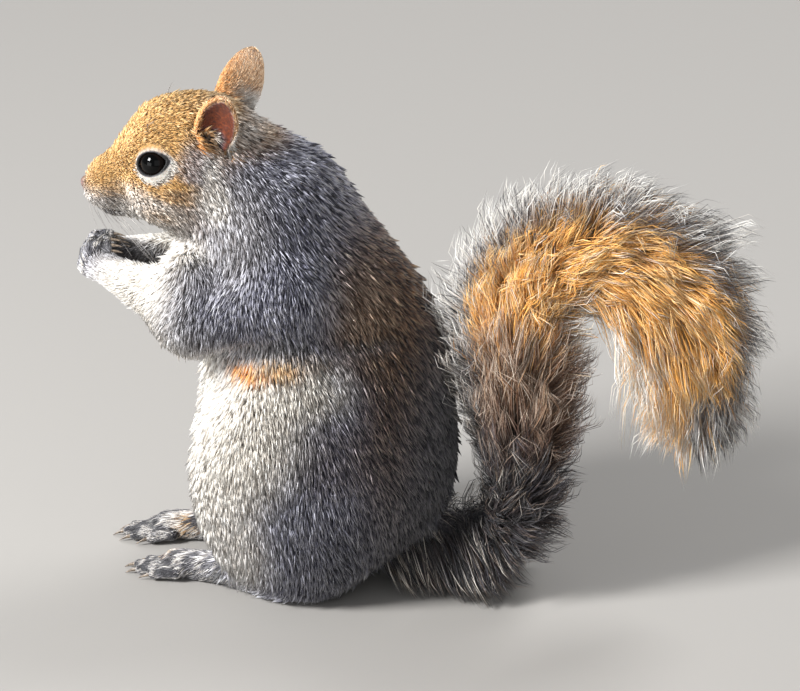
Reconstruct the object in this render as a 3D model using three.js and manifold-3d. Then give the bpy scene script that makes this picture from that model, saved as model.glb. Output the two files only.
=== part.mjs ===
// A grey squirrel sitting up on its haunches with its hands at its mouth, life size.
// Millimetres, +Z up. The squirrel faces -Y, and its left side is at +X.
// The origin is on the floor, under the middle of the rump.
//
// The outside of the coat is described as rounded volumes that melt into each other. Each
// sub-part is the closed surface of its volumes, parted from its neighbours by thin gaps.

import * as THREE from "three";
import { mergeVertices } from "three/addons/utils/BufferGeometryUtils.js";
import Module from "manifold-3d";

const wasm = await Module();
wasm.setup();

// ---------------------------------------------------------------- driving dimensions

const GAP = 0.45; // clear space left between touching sub-parts
const SIDES = [
  { name: "left", sign: 1 },
  { name: "right", sign: -1 },
];

// Edge length of the surface cells: fine on the head, coarse on the big plain masses.
const CELL = { head: 4.4, neck: 10, trunk: 12, arm: 7.4, palm: 3.8, sole: 6.4, tail: 12 };

const TRUNK = {
  belly: { centre: [0, -7, 47.5], radii: [39, 46.5, 49] },
  waist: { centre: [0, -5.5, 86], radii: [33.5, 40, 39] },
  chest: { centre: [0, -24, 116], radii: [30, 36.5, 30] },
  melt: 20,
};

const NECK = {
  axis: { from: [0, -26, 138], to: [0, -46, 153], fromRadius: 25, toRadius: 20 },
  melt: 16,
};

const HEAD = {
  cranium: { centre: [0, -55, 153.5], radii: [19, 22, 21.5] },
  brow: { from: [0, -62, 154.5], to: [0, -82, 143], fromRadius: 14.5, toRadius: 7.5 },
  muzzle: { centre: [0, -82, 139.8], radii: [8, 10.5, 8], pitch: 20 },
  cheek: { centre: [11.5, -59, 142], radii: [10.5, 14, 12] },
  jaw: { from: [0, -58, 136.5], to: [0, -80, 133.5], fromRadius: 10, toRadius: 5.5 },
  melt: 8, // across which the skull, brow and cheeks run into each other
  muzzleMelt: 5,
  jawMelt: 6,
};

// The two cuts across the neck face along the line from the trunk to the head.
const NECK_CUTS = { headSide: [0, -44, 152], trunkSide: [0, -27, 134], pitch: 53 };

const EYE = { centre: [14.2, -63, 154.9], radius: 5.6 };
const NOSE = { centre: [0, -91.4, 139], radii: [2.9, 2.2, 2.3] };

const EAR = {
  centre: [17.5, -41, 171.5],
  radii: [3.6, 7.8, 15], // half the thickness, the width and the height
  outward: 22, // lean away from the head, degrees
  back: 18,
  forward: 6, // turn of the opening forward from straight out to the side
  narrowing: 0.12, // of the width towards the top
  hollow: { radii: [3.6, 6.3, 13.2], offset: [2.7, 0.5] }, // set outward and back
};

const ARM = {
  shoulder: [23, -14, 114],
  elbow: [22, -47.5, 103],
  wrist: [7, -84.5, 110.8],
  shoulderRadius: 16.5,
  elbowRadius: 15.5,
  forearmRadius: 13.5,
  wristRadius: 4.8,
  melt: 7,
  bulge: { centre: [19, -47.5, 116], radii: [12, 14, 12] }, // the muscle in front of the shoulder
  inside: 11.4, // nothing of the arm lies closer to the middle than this
  clear: -52, // behind this line beside the chest
};

const HAND = {
  heel: [5.6, -88.5, 110.8],
  knuckles: [4.4, -88, 115.4],
  heelRadius: 4.9,
  knuckleRadius: 4.1,
  fingers: 4,
  fingerLength: 6.6,
  fingerRadius: 1.25,
  reach: [-0.3, 5.2, 1.2], // the way the fingers point, back to the mouth
  spacing: [1, 0.4, -1.75], // from one knuckle to the next, square to the reach
};

const THIGH = { centre: [23.5, -13, 43.5], radii: [22.5, 37, 46], inside: 16 };

const FOOT = {
  heel: [22, -12, 6.5],
  ball: [15, -62, 4.6],
  heelRadius: 7.5,
  ballRadius: 5,
  stride: { left: 5, right: -5 }, // the right foot is set a little further forward
  toeLengths: [9, 14, 15.5, 14.5, 9.5], // inner toe to outer toe
  toeSpacing: 2.8,
  toeSplay: 6, // degrees between neighbours
  toeRadius: 1.9,
  toeHeight: 3,
  toeSlope: 0.09, // fall for each length forward
  toeSetback: 1, // of each toe from the middle one outwards
};

const CLAW = { length: 4.4, radius: 0.8, droop: 1.1 };

// The tail leaves the rump along the floor, climbs behind the back and curls over.
const TAIL = {
  root: { y: 20, z: 19.5 },
  stand: 61.5, // how far behind the origin it climbs
  footBend: 22,
  curlStart: 98,
  curlRadius: 31.2,
  droop: 27,
  rootRadius: 17,
  fullRadius: 29.3,
  tipRadius: 5,
  fullFrom: 0.55, // share of the length where the brush reaches its full width
  taperFrom: 0.74,
  flatness: 0.76, // width from side to side, as a share of the depth seen from the side
  steps: 30,
  melt: 2,
};
// The cuts that part the tail, and the share of its length where its two legs are meshed apart.
const TAIL_CUTS = { baseTop: 44, curlBottom: 98, behind: 91, climbTo: 0.6, hangFrom: 0.6 };

const COLOURS = {
  head: 0xb58a55, neck: 0x8f8a86, trunk: 0x87858a, arm: 0x9a989a, hand: 0xd9d2ca,
  thigh: 0x7d7a7c, foot: 0xc9c4c0, ear: 0xa9622f, eye: 0x120d0a, nose: 0x3a2a24,
  tail: 0x9a6a35, claw: 0x4a3f36,
};

// ---------------------------------------------------------------- rounded volumes

const { degToRad: radians, clamp, lerp } = THREE.MathUtils;
const TINY = 1e-6; // keeps a division clear of zero

/** A solid given by its distance function, with a box round it. */
class Volume {
  /** @param distance from a point to the surface, below zero inside; @param box that holds it all */
  constructor(distance, box) {
    this.distance = distance;
    this.box = box;
  }

  /** This volume and another, melted together over the given width. */
  join(other, melt = 0) {
    const distance = (p) => {
      const a = this.distance(p);
      const b = other.distance(p);
      const share = melt > 0 ? Math.max(melt - Math.abs(a - b), 0) / melt : 0;
      return Math.min(a, b) - (share * share * melt) / 4;
    };
    return new Volume(distance, this.box.clone().union(other.box).expandByScalar(melt / 4));
  }

  /** The same volume on both sides of the middle plane, given on the left. */
  onBothSides() {
    const mirrored = new THREE.Vector3();
    const box = this.box.clone();
    box.min.x = Math.min(box.min.x, -box.max.x);
    box.max.x = -box.min.x;
    return new Volume((p) => this.distance(mirrored.set(Math.abs(p.x), p.y, p.z)), box);
  }

  /** The same volume with all its surface moved out. */
  grow(amount) {
    return new Volume((p) => this.distance(p) - amount, this.box.clone().expandByScalar(amount));
  }

  /** The same volume made narrower from side to side, to a share of its width. */
  narrow(share) {
    const wide = new THREE.Vector3();
    return new Volume((p) => this.distance(wide.set(p.x / share, p.y, p.z)), this.box);
  }
}

/** An ellipsoid, its nose turned down by pitch degrees. */
function ellipsoid({ centre, radii, pitch = 0 }) {
  const middle = new THREE.Vector3(...centre);
  const turn = new THREE.Matrix4().makeRotationX(-radians(pitch));
  const local = new THREE.Vector3();
  const distance = (p) => {
    local.copy(p).sub(middle).applyMatrix4(turn);
    const near = Math.hypot(local.x / radii[0], local.y / radii[1], local.z / radii[2]);
    const squares = radii.map((radius) => radius * radius);
    const steep = Math.hypot(local.x / squares[0], local.y / squares[1], local.z / squares[2]);
    return (near * (near - 1)) / Math.max(steep, TINY);
  };
  const box = new THREE.Box3(middle, middle).clone().expandByScalar(Math.max(...radii));
  return new Volume(distance, box);
}

/** A round limb from one point to another, with a radius at each end. */
function limb({ from, to, fromRadius, toRadius }) {
  const start = new THREE.Vector3(...from);
  const axis = new THREE.Vector3(...to).sub(start);
  const reach = axis.lengthSq();
  const local = new THREE.Vector3();
  const distance = (p) => {
    local.copy(p).sub(start);
    const along = clamp(local.dot(axis) / reach, 0, 1);
    const radius = lerp(fromRadius, toRadius, along);
    return local.addScaledVector(axis, -along).length() - radius;
  };
  const box = new THREE.Box3().expandByPoint(start).expandByPoint(start.clone().add(axis));
  return new Volume(distance, box.expandByScalar(Math.max(fromRadius, toRadius)));
}

// ---------------------------------------------------------------- surfaces and solids

const REACH_IN_CELL = 0.4; // how far a vertex may be moved, as a share of a cell
const MERGE = 1e-4; // vertices nearer than this are one

/** The closed surface of a volume: a vertex in each cell it crosses, a face across each crossed edge. */
function surfaceOf(volume, cell) {
  const origin = volume.box.min.clone().subScalar(1.5 * cell);
  const size = volume.box.max.clone().sub(origin).divideScalar(cell);
  const count = [size.x, size.y, size.z].map((length) => Math.ceil(length) + 3);
  const stride = [1, count[0], count[0] * count[1]];
  const node = (i, j, k) => i + j * stride[1] + k * stride[2];
  const place = (i, j, k) => new THREE.Vector3(i, j, k).multiplyScalar(cell).add(origin);

  const values = new Float32Array(count[0] * count[1] * count[2]);
  for (let k = 0; k < count[2]; k++)
    for (let j = 0; j < count[1]; j++)
      for (let i = 0; i < count[0]; i++) values[node(i, j, k)] = volume.distance(place(i, j, k));

  const edges = [];
  for (let axis = 0; axis < 3; axis++)
    for (const u of [0, 1])
      for (const v of [0, 1]) {
        const from = [0, 0, 0];
        from[(axis + 1) % 3] = u;
        from[(axis + 2) % 3] = v;
        const to = [...from];
        to[axis] = 1;
        edges.push([from, to]);
      }

  const positions = [];
  const vertexOfCell = new Map();
  for (let k = 0; k < count[2] - 1; k++)
    for (let j = 0; j < count[1] - 1; j++)
      for (let i = 0; i < count[0] - 1; i++) {
        const sum = new THREE.Vector3();
        let crossings = 0;
        for (const [a, b] of edges) {
          const valueA = values[node(i + a[0], j + a[1], k + a[2])];
          const valueB = values[node(i + b[0], j + b[1], k + b[2])];
          if (valueA < 0 === valueB < 0) continue;
          const start = place(i + a[0], j + a[1], k + a[2]);
          const end = place(i + b[0], j + b[1], k + b[2]);
          sum.add(start.lerp(end, valueA / (valueA - valueB)));
          crossings++;
        }
        if (crossings === 0) continue;
        const vertex = onSurface(volume, sum.divideScalar(crossings), REACH_IN_CELL * cell);
        vertexOfCell.set(node(i, j, k), positions.length / 3);
        positions.push(vertex.x, vertex.y, vertex.z);
      }

  const indices = [];
  for (let k = 1; k < count[2] - 1; k++)
    for (let j = 1; j < count[1] - 1; j++)
      for (let i = 1; i < count[0] - 1; i++)
        for (let axis = 0; axis < 3; axis++) {
          const here = node(i, j, k);
          const inside = values[here] < 0;
          if (inside === values[here + stride[axis]] < 0) continue;
          const u = stride[(axis + 1) % 3];
          const v = stride[(axis + 2) % 3];
          const ring = [here - u - v, here - v, here, here - u].map((key) => vertexOfCell.get(key));
          const [a, b, c, d] = inside ? ring : ring.reverse();
          indices.push(a, b, c, a, c, d);
        }

  const geometry = new THREE.BufferGeometry();
  geometry.setAttribute("position", new THREE.Float32BufferAttribute(positions, 3));
  geometry.setIndex(indices);
  return geometry;
}

/** A point moved onto a volume's surface, by no more than the limit. */
function onSurface(volume, point, limit) {
  const probe = 0.05;
  const flattest = 0.2; // slope that still gives a sensible step
  const slope = new THREE.Vector3();
  const moved = point.clone();
  for (let round = 0; round < 3; round++) {
    const here = volume.distance(moved);
    for (const axis of ["x", "y", "z"]) {
      const ahead = moved.clone();
      ahead[axis] += probe;
      slope[axis] = (volume.distance(ahead) - here) / probe;
    }
    moved.addScaledVector(slope, -here / Math.max(slope.lengthSq(), flattest));
  }
  return moved.sub(point).clampLength(0, limit).add(point);
}

/** A closed three.js geometry as a solid that can be joined and cut. */
function solidOf(geometry) {
  const bare = geometry.clone();
  bare.deleteAttribute("normal");
  bare.deleteAttribute("uv");
  const merged = mergeVertices(bare, MERGE);
  const vertProperties = new Float32Array(merged.attributes.position.array);
  const triVerts = new Uint32Array(merged.index.array);
  return new wasm.Manifold(new wasm.Mesh({ numProp: 3, vertProperties, triVerts }));
}

const EVERYWHERE = 500; // further than the squirrel reaches, any way

const volumeSolid = (volume, cell) => solidOf(surfaceOf(volume, cell));

/** An axis-aligned block between two corners. */
function block(low, high) {
  const box = new THREE.Box3(new THREE.Vector3(...low), new THREE.Vector3(...high));
  const size = box.getSize(new THREE.Vector3());
  const middle = box.getCenter(new THREE.Vector3());
  return solidOf(new THREE.BoxGeometry(size.x, size.y, size.z).translate(middle.x, middle.y, middle.z));
}

/** A block that fills everything on the head's side of a cut across the neck. */
function headwards(point, pitch, back = 0) {
  const geometry = new THREE.BoxGeometry(EVERYWHERE, EVERYWHERE, EVERYWHERE);
  geometry.translate(0, back - EVERYWHERE / 2, 0).rotateX(-radians(90 - pitch));
  return solidOf(geometry.translate(...point));
}

const aboveFloor = block([-EVERYWHERE, -EVERYWHERE, 0], [EVERYWHERE, EVERYWHERE, EVERYWHERE]);

// ---------------------------------------------------------------- body volumes

const trunkVolume = ellipsoid(TRUNK.belly)
  .join(ellipsoid(TRUNK.waist), TRUNK.melt)
  .join(ellipsoid(TRUNK.chest), TRUNK.melt);

const headVolume = ellipsoid(HEAD.cranium)
  .join(limb(HEAD.brow), HEAD.melt)
  .join(ellipsoid(HEAD.muzzle), HEAD.muzzleMelt)
  .join(ellipsoid(HEAD.cheek).onBothSides(), HEAD.melt)
  .join(limb(HEAD.jaw), HEAD.jawMelt);

const bodyVolume = trunkVolume.join(limb(NECK.axis), NECK.melt).join(headVolume, HEAD.melt);

/** A point of the left side, carried to the side with the given sign. */
const onSide = ([x, y, z], sign) => [x * sign, y, z];

function armVolume(sign) {
  const upper = limb({
    from: onSide(ARM.shoulder, sign), to: onSide(ARM.elbow, sign),
    fromRadius: ARM.shoulderRadius, toRadius: ARM.elbowRadius,
  });
  const fore = limb({
    from: onSide(ARM.elbow, sign), to: onSide(ARM.wrist, sign),
    fromRadius: ARM.forearmRadius, toRadius: ARM.wristRadius,
  });
  const { centre, radii } = ARM.bulge;
  return upper.join(fore, ARM.melt).join(ellipsoid({ centre: onSide(centre, sign), radii }), ARM.melt);
}

function palmVolume(sign) {
  return limb({
    from: onSide(HAND.heel, sign), to: onSide(HAND.knuckles, sign),
    fromRadius: HAND.heelRadius, toRadius: HAND.knuckleRadius,
  });
}

/** A point of the left foot, carried to the given side and moved by that side's stride. */
const onFoot = ([x, y, z], side) => [x * side.sign, y + FOOT.stride[side.name], z];

function soleVolume(side) {
  return limb({
    from: onFoot(FOOT.heel, side), to: onFoot(FOOT.ball, side),
    fromRadius: FOOT.heelRadius, toRadius: FOOT.ballRadius,
  });
}

/** The middle line of the tail, side on: along the floor, up, over and down. */
function tailLine() {
  const { root, stand, footBend, curlStart, curlRadius, droop } = TAIL;
  const line = new THREE.CurvePath();
  const flat = new THREE.Vector2(stand - footBend, root.z);
  const hanging = new THREE.Vector2(stand + 2 * curlRadius, curlStart);
  line.add(new THREE.LineCurve(new THREE.Vector2(root.y, root.z), flat));
  line.add(new THREE.EllipseCurve(flat.x, flat.y + footBend, footBend, footBend, -Math.PI / 2, 0));
  line.add(new THREE.LineCurve(
    new THREE.Vector2(stand, root.z + footBend), new THREE.Vector2(stand, curlStart)));
  line.add(new THREE.EllipseCurve(
    stand + curlRadius, curlStart, curlRadius, curlRadius, Math.PI, 0, true));
  line.add(new THREE.LineCurve(hanging, hanging.clone().add(new THREE.Vector2(-1, -droop))));
  return line;
}

/** The brush's radius at a share of the tail's length. */
function tailRadius(share) {
  const { rootRadius, fullRadius, tipRadius, fullFrom, taperFrom } = TAIL;
  const swelling = Math.sin((share / fullFrom) * (Math.PI / 2));
  if (share < fullFrom) return lerp(rootRadius, fullRadius, swelling);
  if (share < taperFrom) return fullRadius;
  const taper = (share - taperFrom) / (1 - taperFrom);
  return Math.max(fullRadius * Math.sqrt(1 - taper * taper), tipRadius);
}

/** The brush from one share of the tail's length to another. */
function tailVolume(fromShare = 0, toShare = 1) {
  const points = tailLine().getSpacedPoints(TAIL.steps);
  const lastStep = Math.round(toShare * TAIL.steps);
  let volume = null;
  for (let step = Math.round(fromShare * TAIL.steps); step < lastStep; step++) {
    const piece = limb({
      from: [0, points[step].x, points[step].y],
      to: [0, points[step + 1].x, points[step + 1].y],
      fromRadius: tailRadius(step / TAIL.steps),
      toRadius: tailRadius((step + 1) / TAIL.steps),
    });
    volume = volume ? volume.join(piece, TAIL.melt) : piece;
  }
  return volume.narrow(TAIL.flatness);
}

// ---------------------------------------------------------------- small pieces

/** A digit lying along +Y from the origin, rounded at the tip. */
function digit(length, radius) {
  const sides = 5;
  const profile = [
    new THREE.Vector2(0, 0),
    new THREE.Vector2(radius, 0),
    new THREE.Vector2(radius * 0.86, length * 0.62),
    new THREE.Vector2(radius * 0.98, length * 0.84),
    new THREE.Vector2(radius * 0.55, length - radius * 0.15),
    new THREE.Vector2(0, length),
  ];
  return new THREE.LatheGeometry(profile, sides);
}

/** A claw lying along +Y from the origin, its tip drooping. */
function claw() {
  const { length, radius, droop } = CLAW;
  const profile = [
    new THREE.Vector2(0, 0),
    new THREE.Vector2(radius, 0),
    new THREE.Vector2(radius * 0.75, length * 0.5),
    new THREE.Vector2(0, length),
  ];
  const sides = 4;
  const geometry = new THREE.LatheGeometry(profile, sides);
  const position = geometry.attributes.position;
  for (let index = 0; index < position.count; index++) {
    const share = position.getY(index) / length;
    position.setZ(index, position.getZ(index) - droop * share * share);
  }
  return geometry;
}

const ALONG = new THREE.Vector3(0, 1, 0); // the way digits and claws are drawn

/** Where each finger starts, which way it points and how long it is. */
function fingers(side) {
  const knuckles = new THREE.Vector3(...onSide(HAND.knuckles, side.sign));
  const direction = new THREE.Vector3(...onSide(HAND.reach, side.sign)).normalize();
  const step = new THREE.Vector3(...onSide(HAND.spacing, side.sign));
  return Array.from({ length: HAND.fingers }, (_, index) => ({
    base: knuckles.clone().addScaledVector(step, index - (HAND.fingers - 1) / 2),
    direction,
    length: HAND.fingerLength,
  }));
}

/** Where each toe starts, which way it points and how long it is. */
function toes(side) {
  const ball = new THREE.Vector3(...onFoot(FOOT.ball, side));
  const heel = new THREE.Vector3(...onFoot(FOOT.heel, side));
  const forward = ball.clone().sub(heel).setZ(0).normalize();
  const outward = new THREE.Vector3(-forward.y, forward.x, 0).multiplyScalar(side.sign);
  const middle = (FOOT.toeLengths.length - 1) / 2;
  return FOOT.toeLengths.map((length, index) => {
    const place = index - middle;
    const splay = radians(place * FOOT.toeSplay);
    const direction = forward.clone().multiplyScalar(Math.cos(splay));
    direction.addScaledVector(outward, Math.sin(splay)).setZ(-FOOT.toeSlope);
    const base = ball.clone().addScaledVector(outward, place * FOOT.toeSpacing);
    base.addScaledVector(forward, -Math.abs(place) * FOOT.toeSetback).setZ(FOOT.toeHeight);
    return { base, direction: direction.normalize(), length };
  });
}

const digitSolid = ({ base, direction, length }, radius) => {
  const turn = new THREE.Quaternion().setFromUnitVectors(ALONG, direction);
  return solidOf(digit(length, radius).applyQuaternion(turn).translate(base.x, base.y, base.z));
};

/** An ear shell, standing at its place: a flattened egg with its opening scooped out. */
function ear(sign) {
  const { centre, radii, hollow, narrowing } = EAR;
  const egg = ([thick, wide, high], [out, behind]) => {
    const geometry = new THREE.SphereGeometry(1, 10, 8).rotateX(Math.PI / 2);
    const position = geometry.attributes.position;
    for (let index = 0; index < position.count; index++) {
      const narrow = 1 - narrowing * Math.max(position.getZ(index), 0) ** 2;
      position.setY(index, position.getY(index) * narrow);
    }
    geometry.scale(thick, wide, high).translate(out * sign, behind, 0);
    geometry.rotateZ(-radians(EAR.forward) * sign);
    geometry.rotateY(radians(EAR.outward) * sign).rotateX(-radians(EAR.back));
    return solidOf(geometry.translate(centre[0] * sign, centre[1], centre[2]));
  };
  return egg(radii, [0, 0]).subtract(egg(hollow.radii, hollow.offset));
}

/** A thigh, with its inner side cut flat against the middle of the rump. */
function thigh(sign, extra = 0) {
  const [wide, deep, high] = THIGH.radii.map((radius) => radius + extra);
  const geometry = new THREE.SphereGeometry(1, 16, 11).scale(wide, deep, high);
  const inner = THIGH.inside - extra;
  const outside = sign > 0
    ? block([inner, -EVERYWHERE, -EVERYWHERE], [EVERYWHERE, EVERYWHERE, EVERYWHERE])
    : block([-EVERYWHERE, -EVERYWHERE, -EVERYWHERE], [-inner, EVERYWHERE, EVERYWHERE]);
  return solidOf(geometry.translate(...onSide(THIGH.centre, sign))).intersect(outside);
}

// ---------------------------------------------------------------- parting the body

/** The biggest single body of a solid, without crumbs left by a cut. */
function whole(solid) {
  const bodies = solid.decompose();
  return bodies.reduce((big, next) => (next.volume() > big.volume() ? next : big));
}

const cutAway = (solid, tools) => tools.reduce((rest, tool) => rest.subtract(tool), solid);

const squirrel = new THREE.Group();
squirrel.name = "grey_squirrel";

function addMesh(name, geometry, colour, roughness = 0.9) {
  const material = new THREE.MeshStandardMaterial({ color: colour, roughness, metalness: 0 });
  const mesh = new THREE.Mesh(geometry, material);
  mesh.name = name;
  squirrel.add(mesh);
  return mesh;
}

/** Adds a solid as a named mesh, in the squirrel's own frame. */
function addSolid(name, solid, colour) {
  const { vertProperties, triVerts, numProp } = whole(solid).getMesh();
  const geometry = new THREE.BufferGeometry();
  const position = new THREE.InterleavedBuffer(vertProperties, numProp);
  geometry.setAttribute("position", new THREE.InterleavedBufferAttribute(position, 3, 0));
  geometry.setIndex(new THREE.BufferAttribute(triVerts, 1));
  return addMesh(name, geometry, colour);
}

const NOSE_FACES = [8, 5]; // faces round and down the nose
const EYE_FACES = [10, 6];

const ellipsoidGeometry = (radii, across, down) =>
  new THREE.SphereGeometry(1, across, down).scale(...radii);
const eyeGeometry = (radius) => ellipsoidGeometry([radius, radius, radius], ...EYE_FACES);

const grownArms = SIDES.map(({ sign }) => volumeSolid(armVolume(sign).grow(2 * GAP), CELL.arm));
const grownThighs = SIDES.map(({ sign }) => thigh(sign, GAP));
const grownBody = volumeSolid(bodyVolume.grow(2 * GAP), CELL.trunk);
const grownSkull = volumeSolid(bodyVolume.grow(GAP), CELL.head);
const chestCore = block([-ARM.inside, ARM.clear, -EVERYWHERE], [ARM.inside, EVERYWHERE, EVERYWHERE]);
const grownEyes = SIDES.map(({ sign }) =>
  solidOf(eyeGeometry(EYE.radius + GAP).translate(...onSide(EYE.centre, sign))),
);
const noseRoom = NOSE.radii.map((radius) => radius + GAP);
const grownNose = solidOf(ellipsoidGeometry(noseRoom, ...NOSE_FACES).translate(...NOSE.centre));

const headBlock = headwards(NECK_CUTS.headSide, NECK_CUTS.pitch);
const headBlockGrown = headwards(NECK_CUTS.headSide, NECK_CUTS.pitch, GAP);
const neckBlock = headwards(NECK_CUTS.trunkSide, NECK_CUTS.pitch);
const neckBlockGrown = headwards(NECK_CUTS.trunkSide, NECK_CUTS.pitch, GAP);

const skull = volumeSolid(bodyVolume, CELL.head).intersect(headBlock);
addSolid("head", cutAway(skull, [...grownEyes, grownNose]), COLOURS.head);

const throat = volumeSolid(bodyVolume, CELL.neck).intersect(neckBlock);
addSolid("neck", cutAway(throat, [headBlockGrown, ...grownArms]), COLOURS.neck);

const rump = volumeSolid(bodyVolume, CELL.trunk).intersect(aboveFloor);
addSolid("trunk", cutAway(rump, [neckBlockGrown, ...grownArms, ...grownThighs]), COLOURS.trunk);

const nose = addMesh("nose", ellipsoidGeometry(NOSE.radii, ...NOSE_FACES), COLOURS.nose, 0.5);
nose.position.set(...NOSE.centre);

for (const side of SIDES) {
  const { name, sign } = side;
  const eye = addMesh(`eye_${name}`, eyeGeometry(EYE.radius), COLOURS.eye, 0.1);
  eye.position.set(...onSide(EYE.centre, sign));
  addSolid(`ear_${name}`, ear(sign).subtract(grownSkull), COLOURS.ear);

  const arm = volumeSolid(armVolume(sign), CELL.arm).subtract(chestCore);
  addSolid(`arm_${name}`, arm, COLOURS.arm);
  const sleeve = volumeSolid(armVolume(sign).grow(2 * GAP), CELL.palm);
  const hand = fingers(side).reduce(
    (palm, finger) => palm.add(digitSolid(finger, HAND.fingerRadius)),
    volumeSolid(palmVolume(sign), CELL.palm),
  );
  addSolid(`hand_${name}`, hand.subtract(sleeve), COLOURS.hand);

  addSolid(`thigh_${name}`, thigh(sign).intersect(aboveFloor), COLOURS.thigh);
  const foot = toes(side).reduce(
    (sole, toe) => sole.add(digitSolid(toe, FOOT.toeRadius)),
    volumeSolid(soleVolume(side), CELL.sole),
  );
  const footTools = [grownBody, ...grownThighs];
  addSolid(`hind_foot_${name}`, cutAway(foot.intersect(aboveFloor), footTools), COLOURS.foot);

  for (const [limbName, digits] of [["hand", fingers(side)], ["foot", toes(side)]])
    digits.forEach(({ base, direction, length }, index) => {
      const mesh = addMesh(`claw_${limbName}_${name}_${index + 1}`, claw(), COLOURS.claw, 0.4);
      mesh.quaternion.setFromUnitVectors(ALONG, direction);
      mesh.position.copy(base).addScaledVector(direction, length + GAP / 2);
    });
}

// The climbing and the hanging length are meshed apart, so that the space between stays open.
const { baseTop, curlBottom, behind, climbTo, hangFrom } = TAIL_CUTS;
const tailLengths = [
  { name: "tail_base", to: climbTo, low: [0, 0], high: [EVERYWHERE, baseTop] },
  { name: "tail_climb", to: climbTo, low: [0, baseTop + GAP], high: [behind, curlBottom] },
  { name: "tail_curl", low: [0, curlBottom + GAP], high: [EVERYWHERE, EVERYWHERE] },
  { name: "tail_tip", from: hangFrom, low: [behind + GAP, 0], high: [EVERYWHERE, curlBottom] },
];
for (const { name, from, to, low, high } of tailLengths) {
  const room = block([-EVERYWHERE, ...low], [EVERYWHERE, ...high]);
  const brush = volumeSolid(tailVolume(from, to), CELL.tail).intersect(room);
  addSolid(name, cutAway(brush.intersect(aboveFloor), [grownBody, ...grownThighs]), COLOURS.tail);
}

export default squirrel;
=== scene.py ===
import logging
import math
from collections.abc import Callable
from dataclasses import dataclass, field
from enum import Enum

import bpy
import numpy as np
from mathutils import Matrix, Vector


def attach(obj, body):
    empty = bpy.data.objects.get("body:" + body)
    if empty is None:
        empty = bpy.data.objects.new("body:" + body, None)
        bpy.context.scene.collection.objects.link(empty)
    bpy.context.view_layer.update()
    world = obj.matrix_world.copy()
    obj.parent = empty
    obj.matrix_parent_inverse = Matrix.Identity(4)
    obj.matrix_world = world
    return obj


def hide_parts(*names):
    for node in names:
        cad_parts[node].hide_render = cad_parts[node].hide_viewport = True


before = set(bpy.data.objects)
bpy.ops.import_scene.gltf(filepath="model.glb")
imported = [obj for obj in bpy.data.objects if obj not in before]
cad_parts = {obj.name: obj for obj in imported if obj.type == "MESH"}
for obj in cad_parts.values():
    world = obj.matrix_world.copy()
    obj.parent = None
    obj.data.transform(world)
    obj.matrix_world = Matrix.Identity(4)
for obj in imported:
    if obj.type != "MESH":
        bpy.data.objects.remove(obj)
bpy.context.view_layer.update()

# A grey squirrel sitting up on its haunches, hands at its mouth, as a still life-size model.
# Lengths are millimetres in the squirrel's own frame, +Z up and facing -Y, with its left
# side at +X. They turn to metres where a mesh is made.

log = logging.getLogger("squirrel")

Array = np.ndarray
Triple = tuple[float, float, float]
Rng = np.random.Generator
Material = bpy.types.Material
Tree = bpy.types.NodeTree
Socket = bpy.types.NodeSocket

MM = 0.001  # metres in a millimetre
FAR = 60.0  # stands for the distance of a mass that is too far off to matter
TINY = 1e-6  # keeps a division clear of zero


# ---------------------------------------------------------------- small maths

def unit(vectors: Array) -> Array:
    """Vectors at length one.

    Args:
        vectors: One vector, or one in each row.

    Returns:
        The same directions at length one.
    """
    lengths = np.sqrt((vectors * vectors).sum(axis=-1, keepdims=True))
    return vectors / np.maximum(lengths, TINY)


def blend(low: Array, high: Array, share: Array) -> Array:
    """Goes from low to high as share goes from 0 to 1."""
    return low + (high - low) * share


def rise(low: float, high: float, value: Array) -> Array:
    """Rises smoothly from 0 at low to 1 at high; falls where low is the greater."""
    share = np.clip((value - low) / (high - low), 0.0, 1.0)
    return share * share * (3.0 - 2.0 * share)


def melt(first: Array, second: Array, width: float) -> Array:
    """Joins two distances into one, rounding the crease between them.

    Args:
        first: Distances to one surface, below zero inside.
        second: Distances to the other.
        width: Span across which the two run into each other.

    Returns:
        The distances to the joined surface.
    """
    share = np.maximum(width - np.abs(first - second), 0.0) / max(width, TINY)
    return np.minimum(first, second) - share * share * width / 4.0


def carve(body: Array, tool: Array, width: float) -> Array:
    """Takes a tool's shape out of a body, rounding the edge over the width."""
    return -melt(-body, tool, width)


def turned(points: Array, axis: str, degrees: float) -> Array:
    """Turns points about one of the axes through the origin."""
    matrix = np.array(Matrix.Rotation(math.radians(degrees), 3, axis), dtype=points.dtype)
    return points @ matrix.T


def to_left(points: Array, side: int = 0) -> Array:
    """Carries points to the left side, where shapes and marks are given.

    Args:
        points: Points, one in each row.
        side: The side they count for: 1 is the left, -1 the right and 0 both.

    Returns:
        The points as they lie on the left.
    """
    placed = points.copy()
    placed[:, 0] = placed[:, 0] * side if side else np.abs(placed[:, 0])
    return placed


# ---------------------------------------------------------------- rounded shapes

@dataclass(frozen=True)
class Ellipsoid:
    """A rounded mass with its coat on, its nose turned down by pitch degrees."""

    centre: Triple
    radii: Triple
    coat: float = 0.0
    pitch: float = 0.0

    def distance(self, points: Array, coat: float) -> Array:
        """Distances to the surface, with a share of the coat taken off.

        Args:
            points: Points, one in each row.
            coat: The share of the coat's depth to take off.

        Returns:
            The distances, below zero inside.
        """
        local = turned(points - np.array(self.centre, np.float32), "X", -self.pitch)
        radii = np.array(self.radii, np.float32) - self.coat * coat
        near = np.sqrt(((local / radii) ** 2).sum(axis=1))
        steep = np.sqrt(((local / radii**2) ** 2).sum(axis=1))
        return near * (near - 1.0) / np.maximum(steep, TINY)

    def box(self) -> tuple[Array, Array]:
        """The lowest and highest corner of the space it takes."""
        reach = max(self.radii)
        return np.array(self.centre) - reach, np.array(self.centre) + reach


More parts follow.
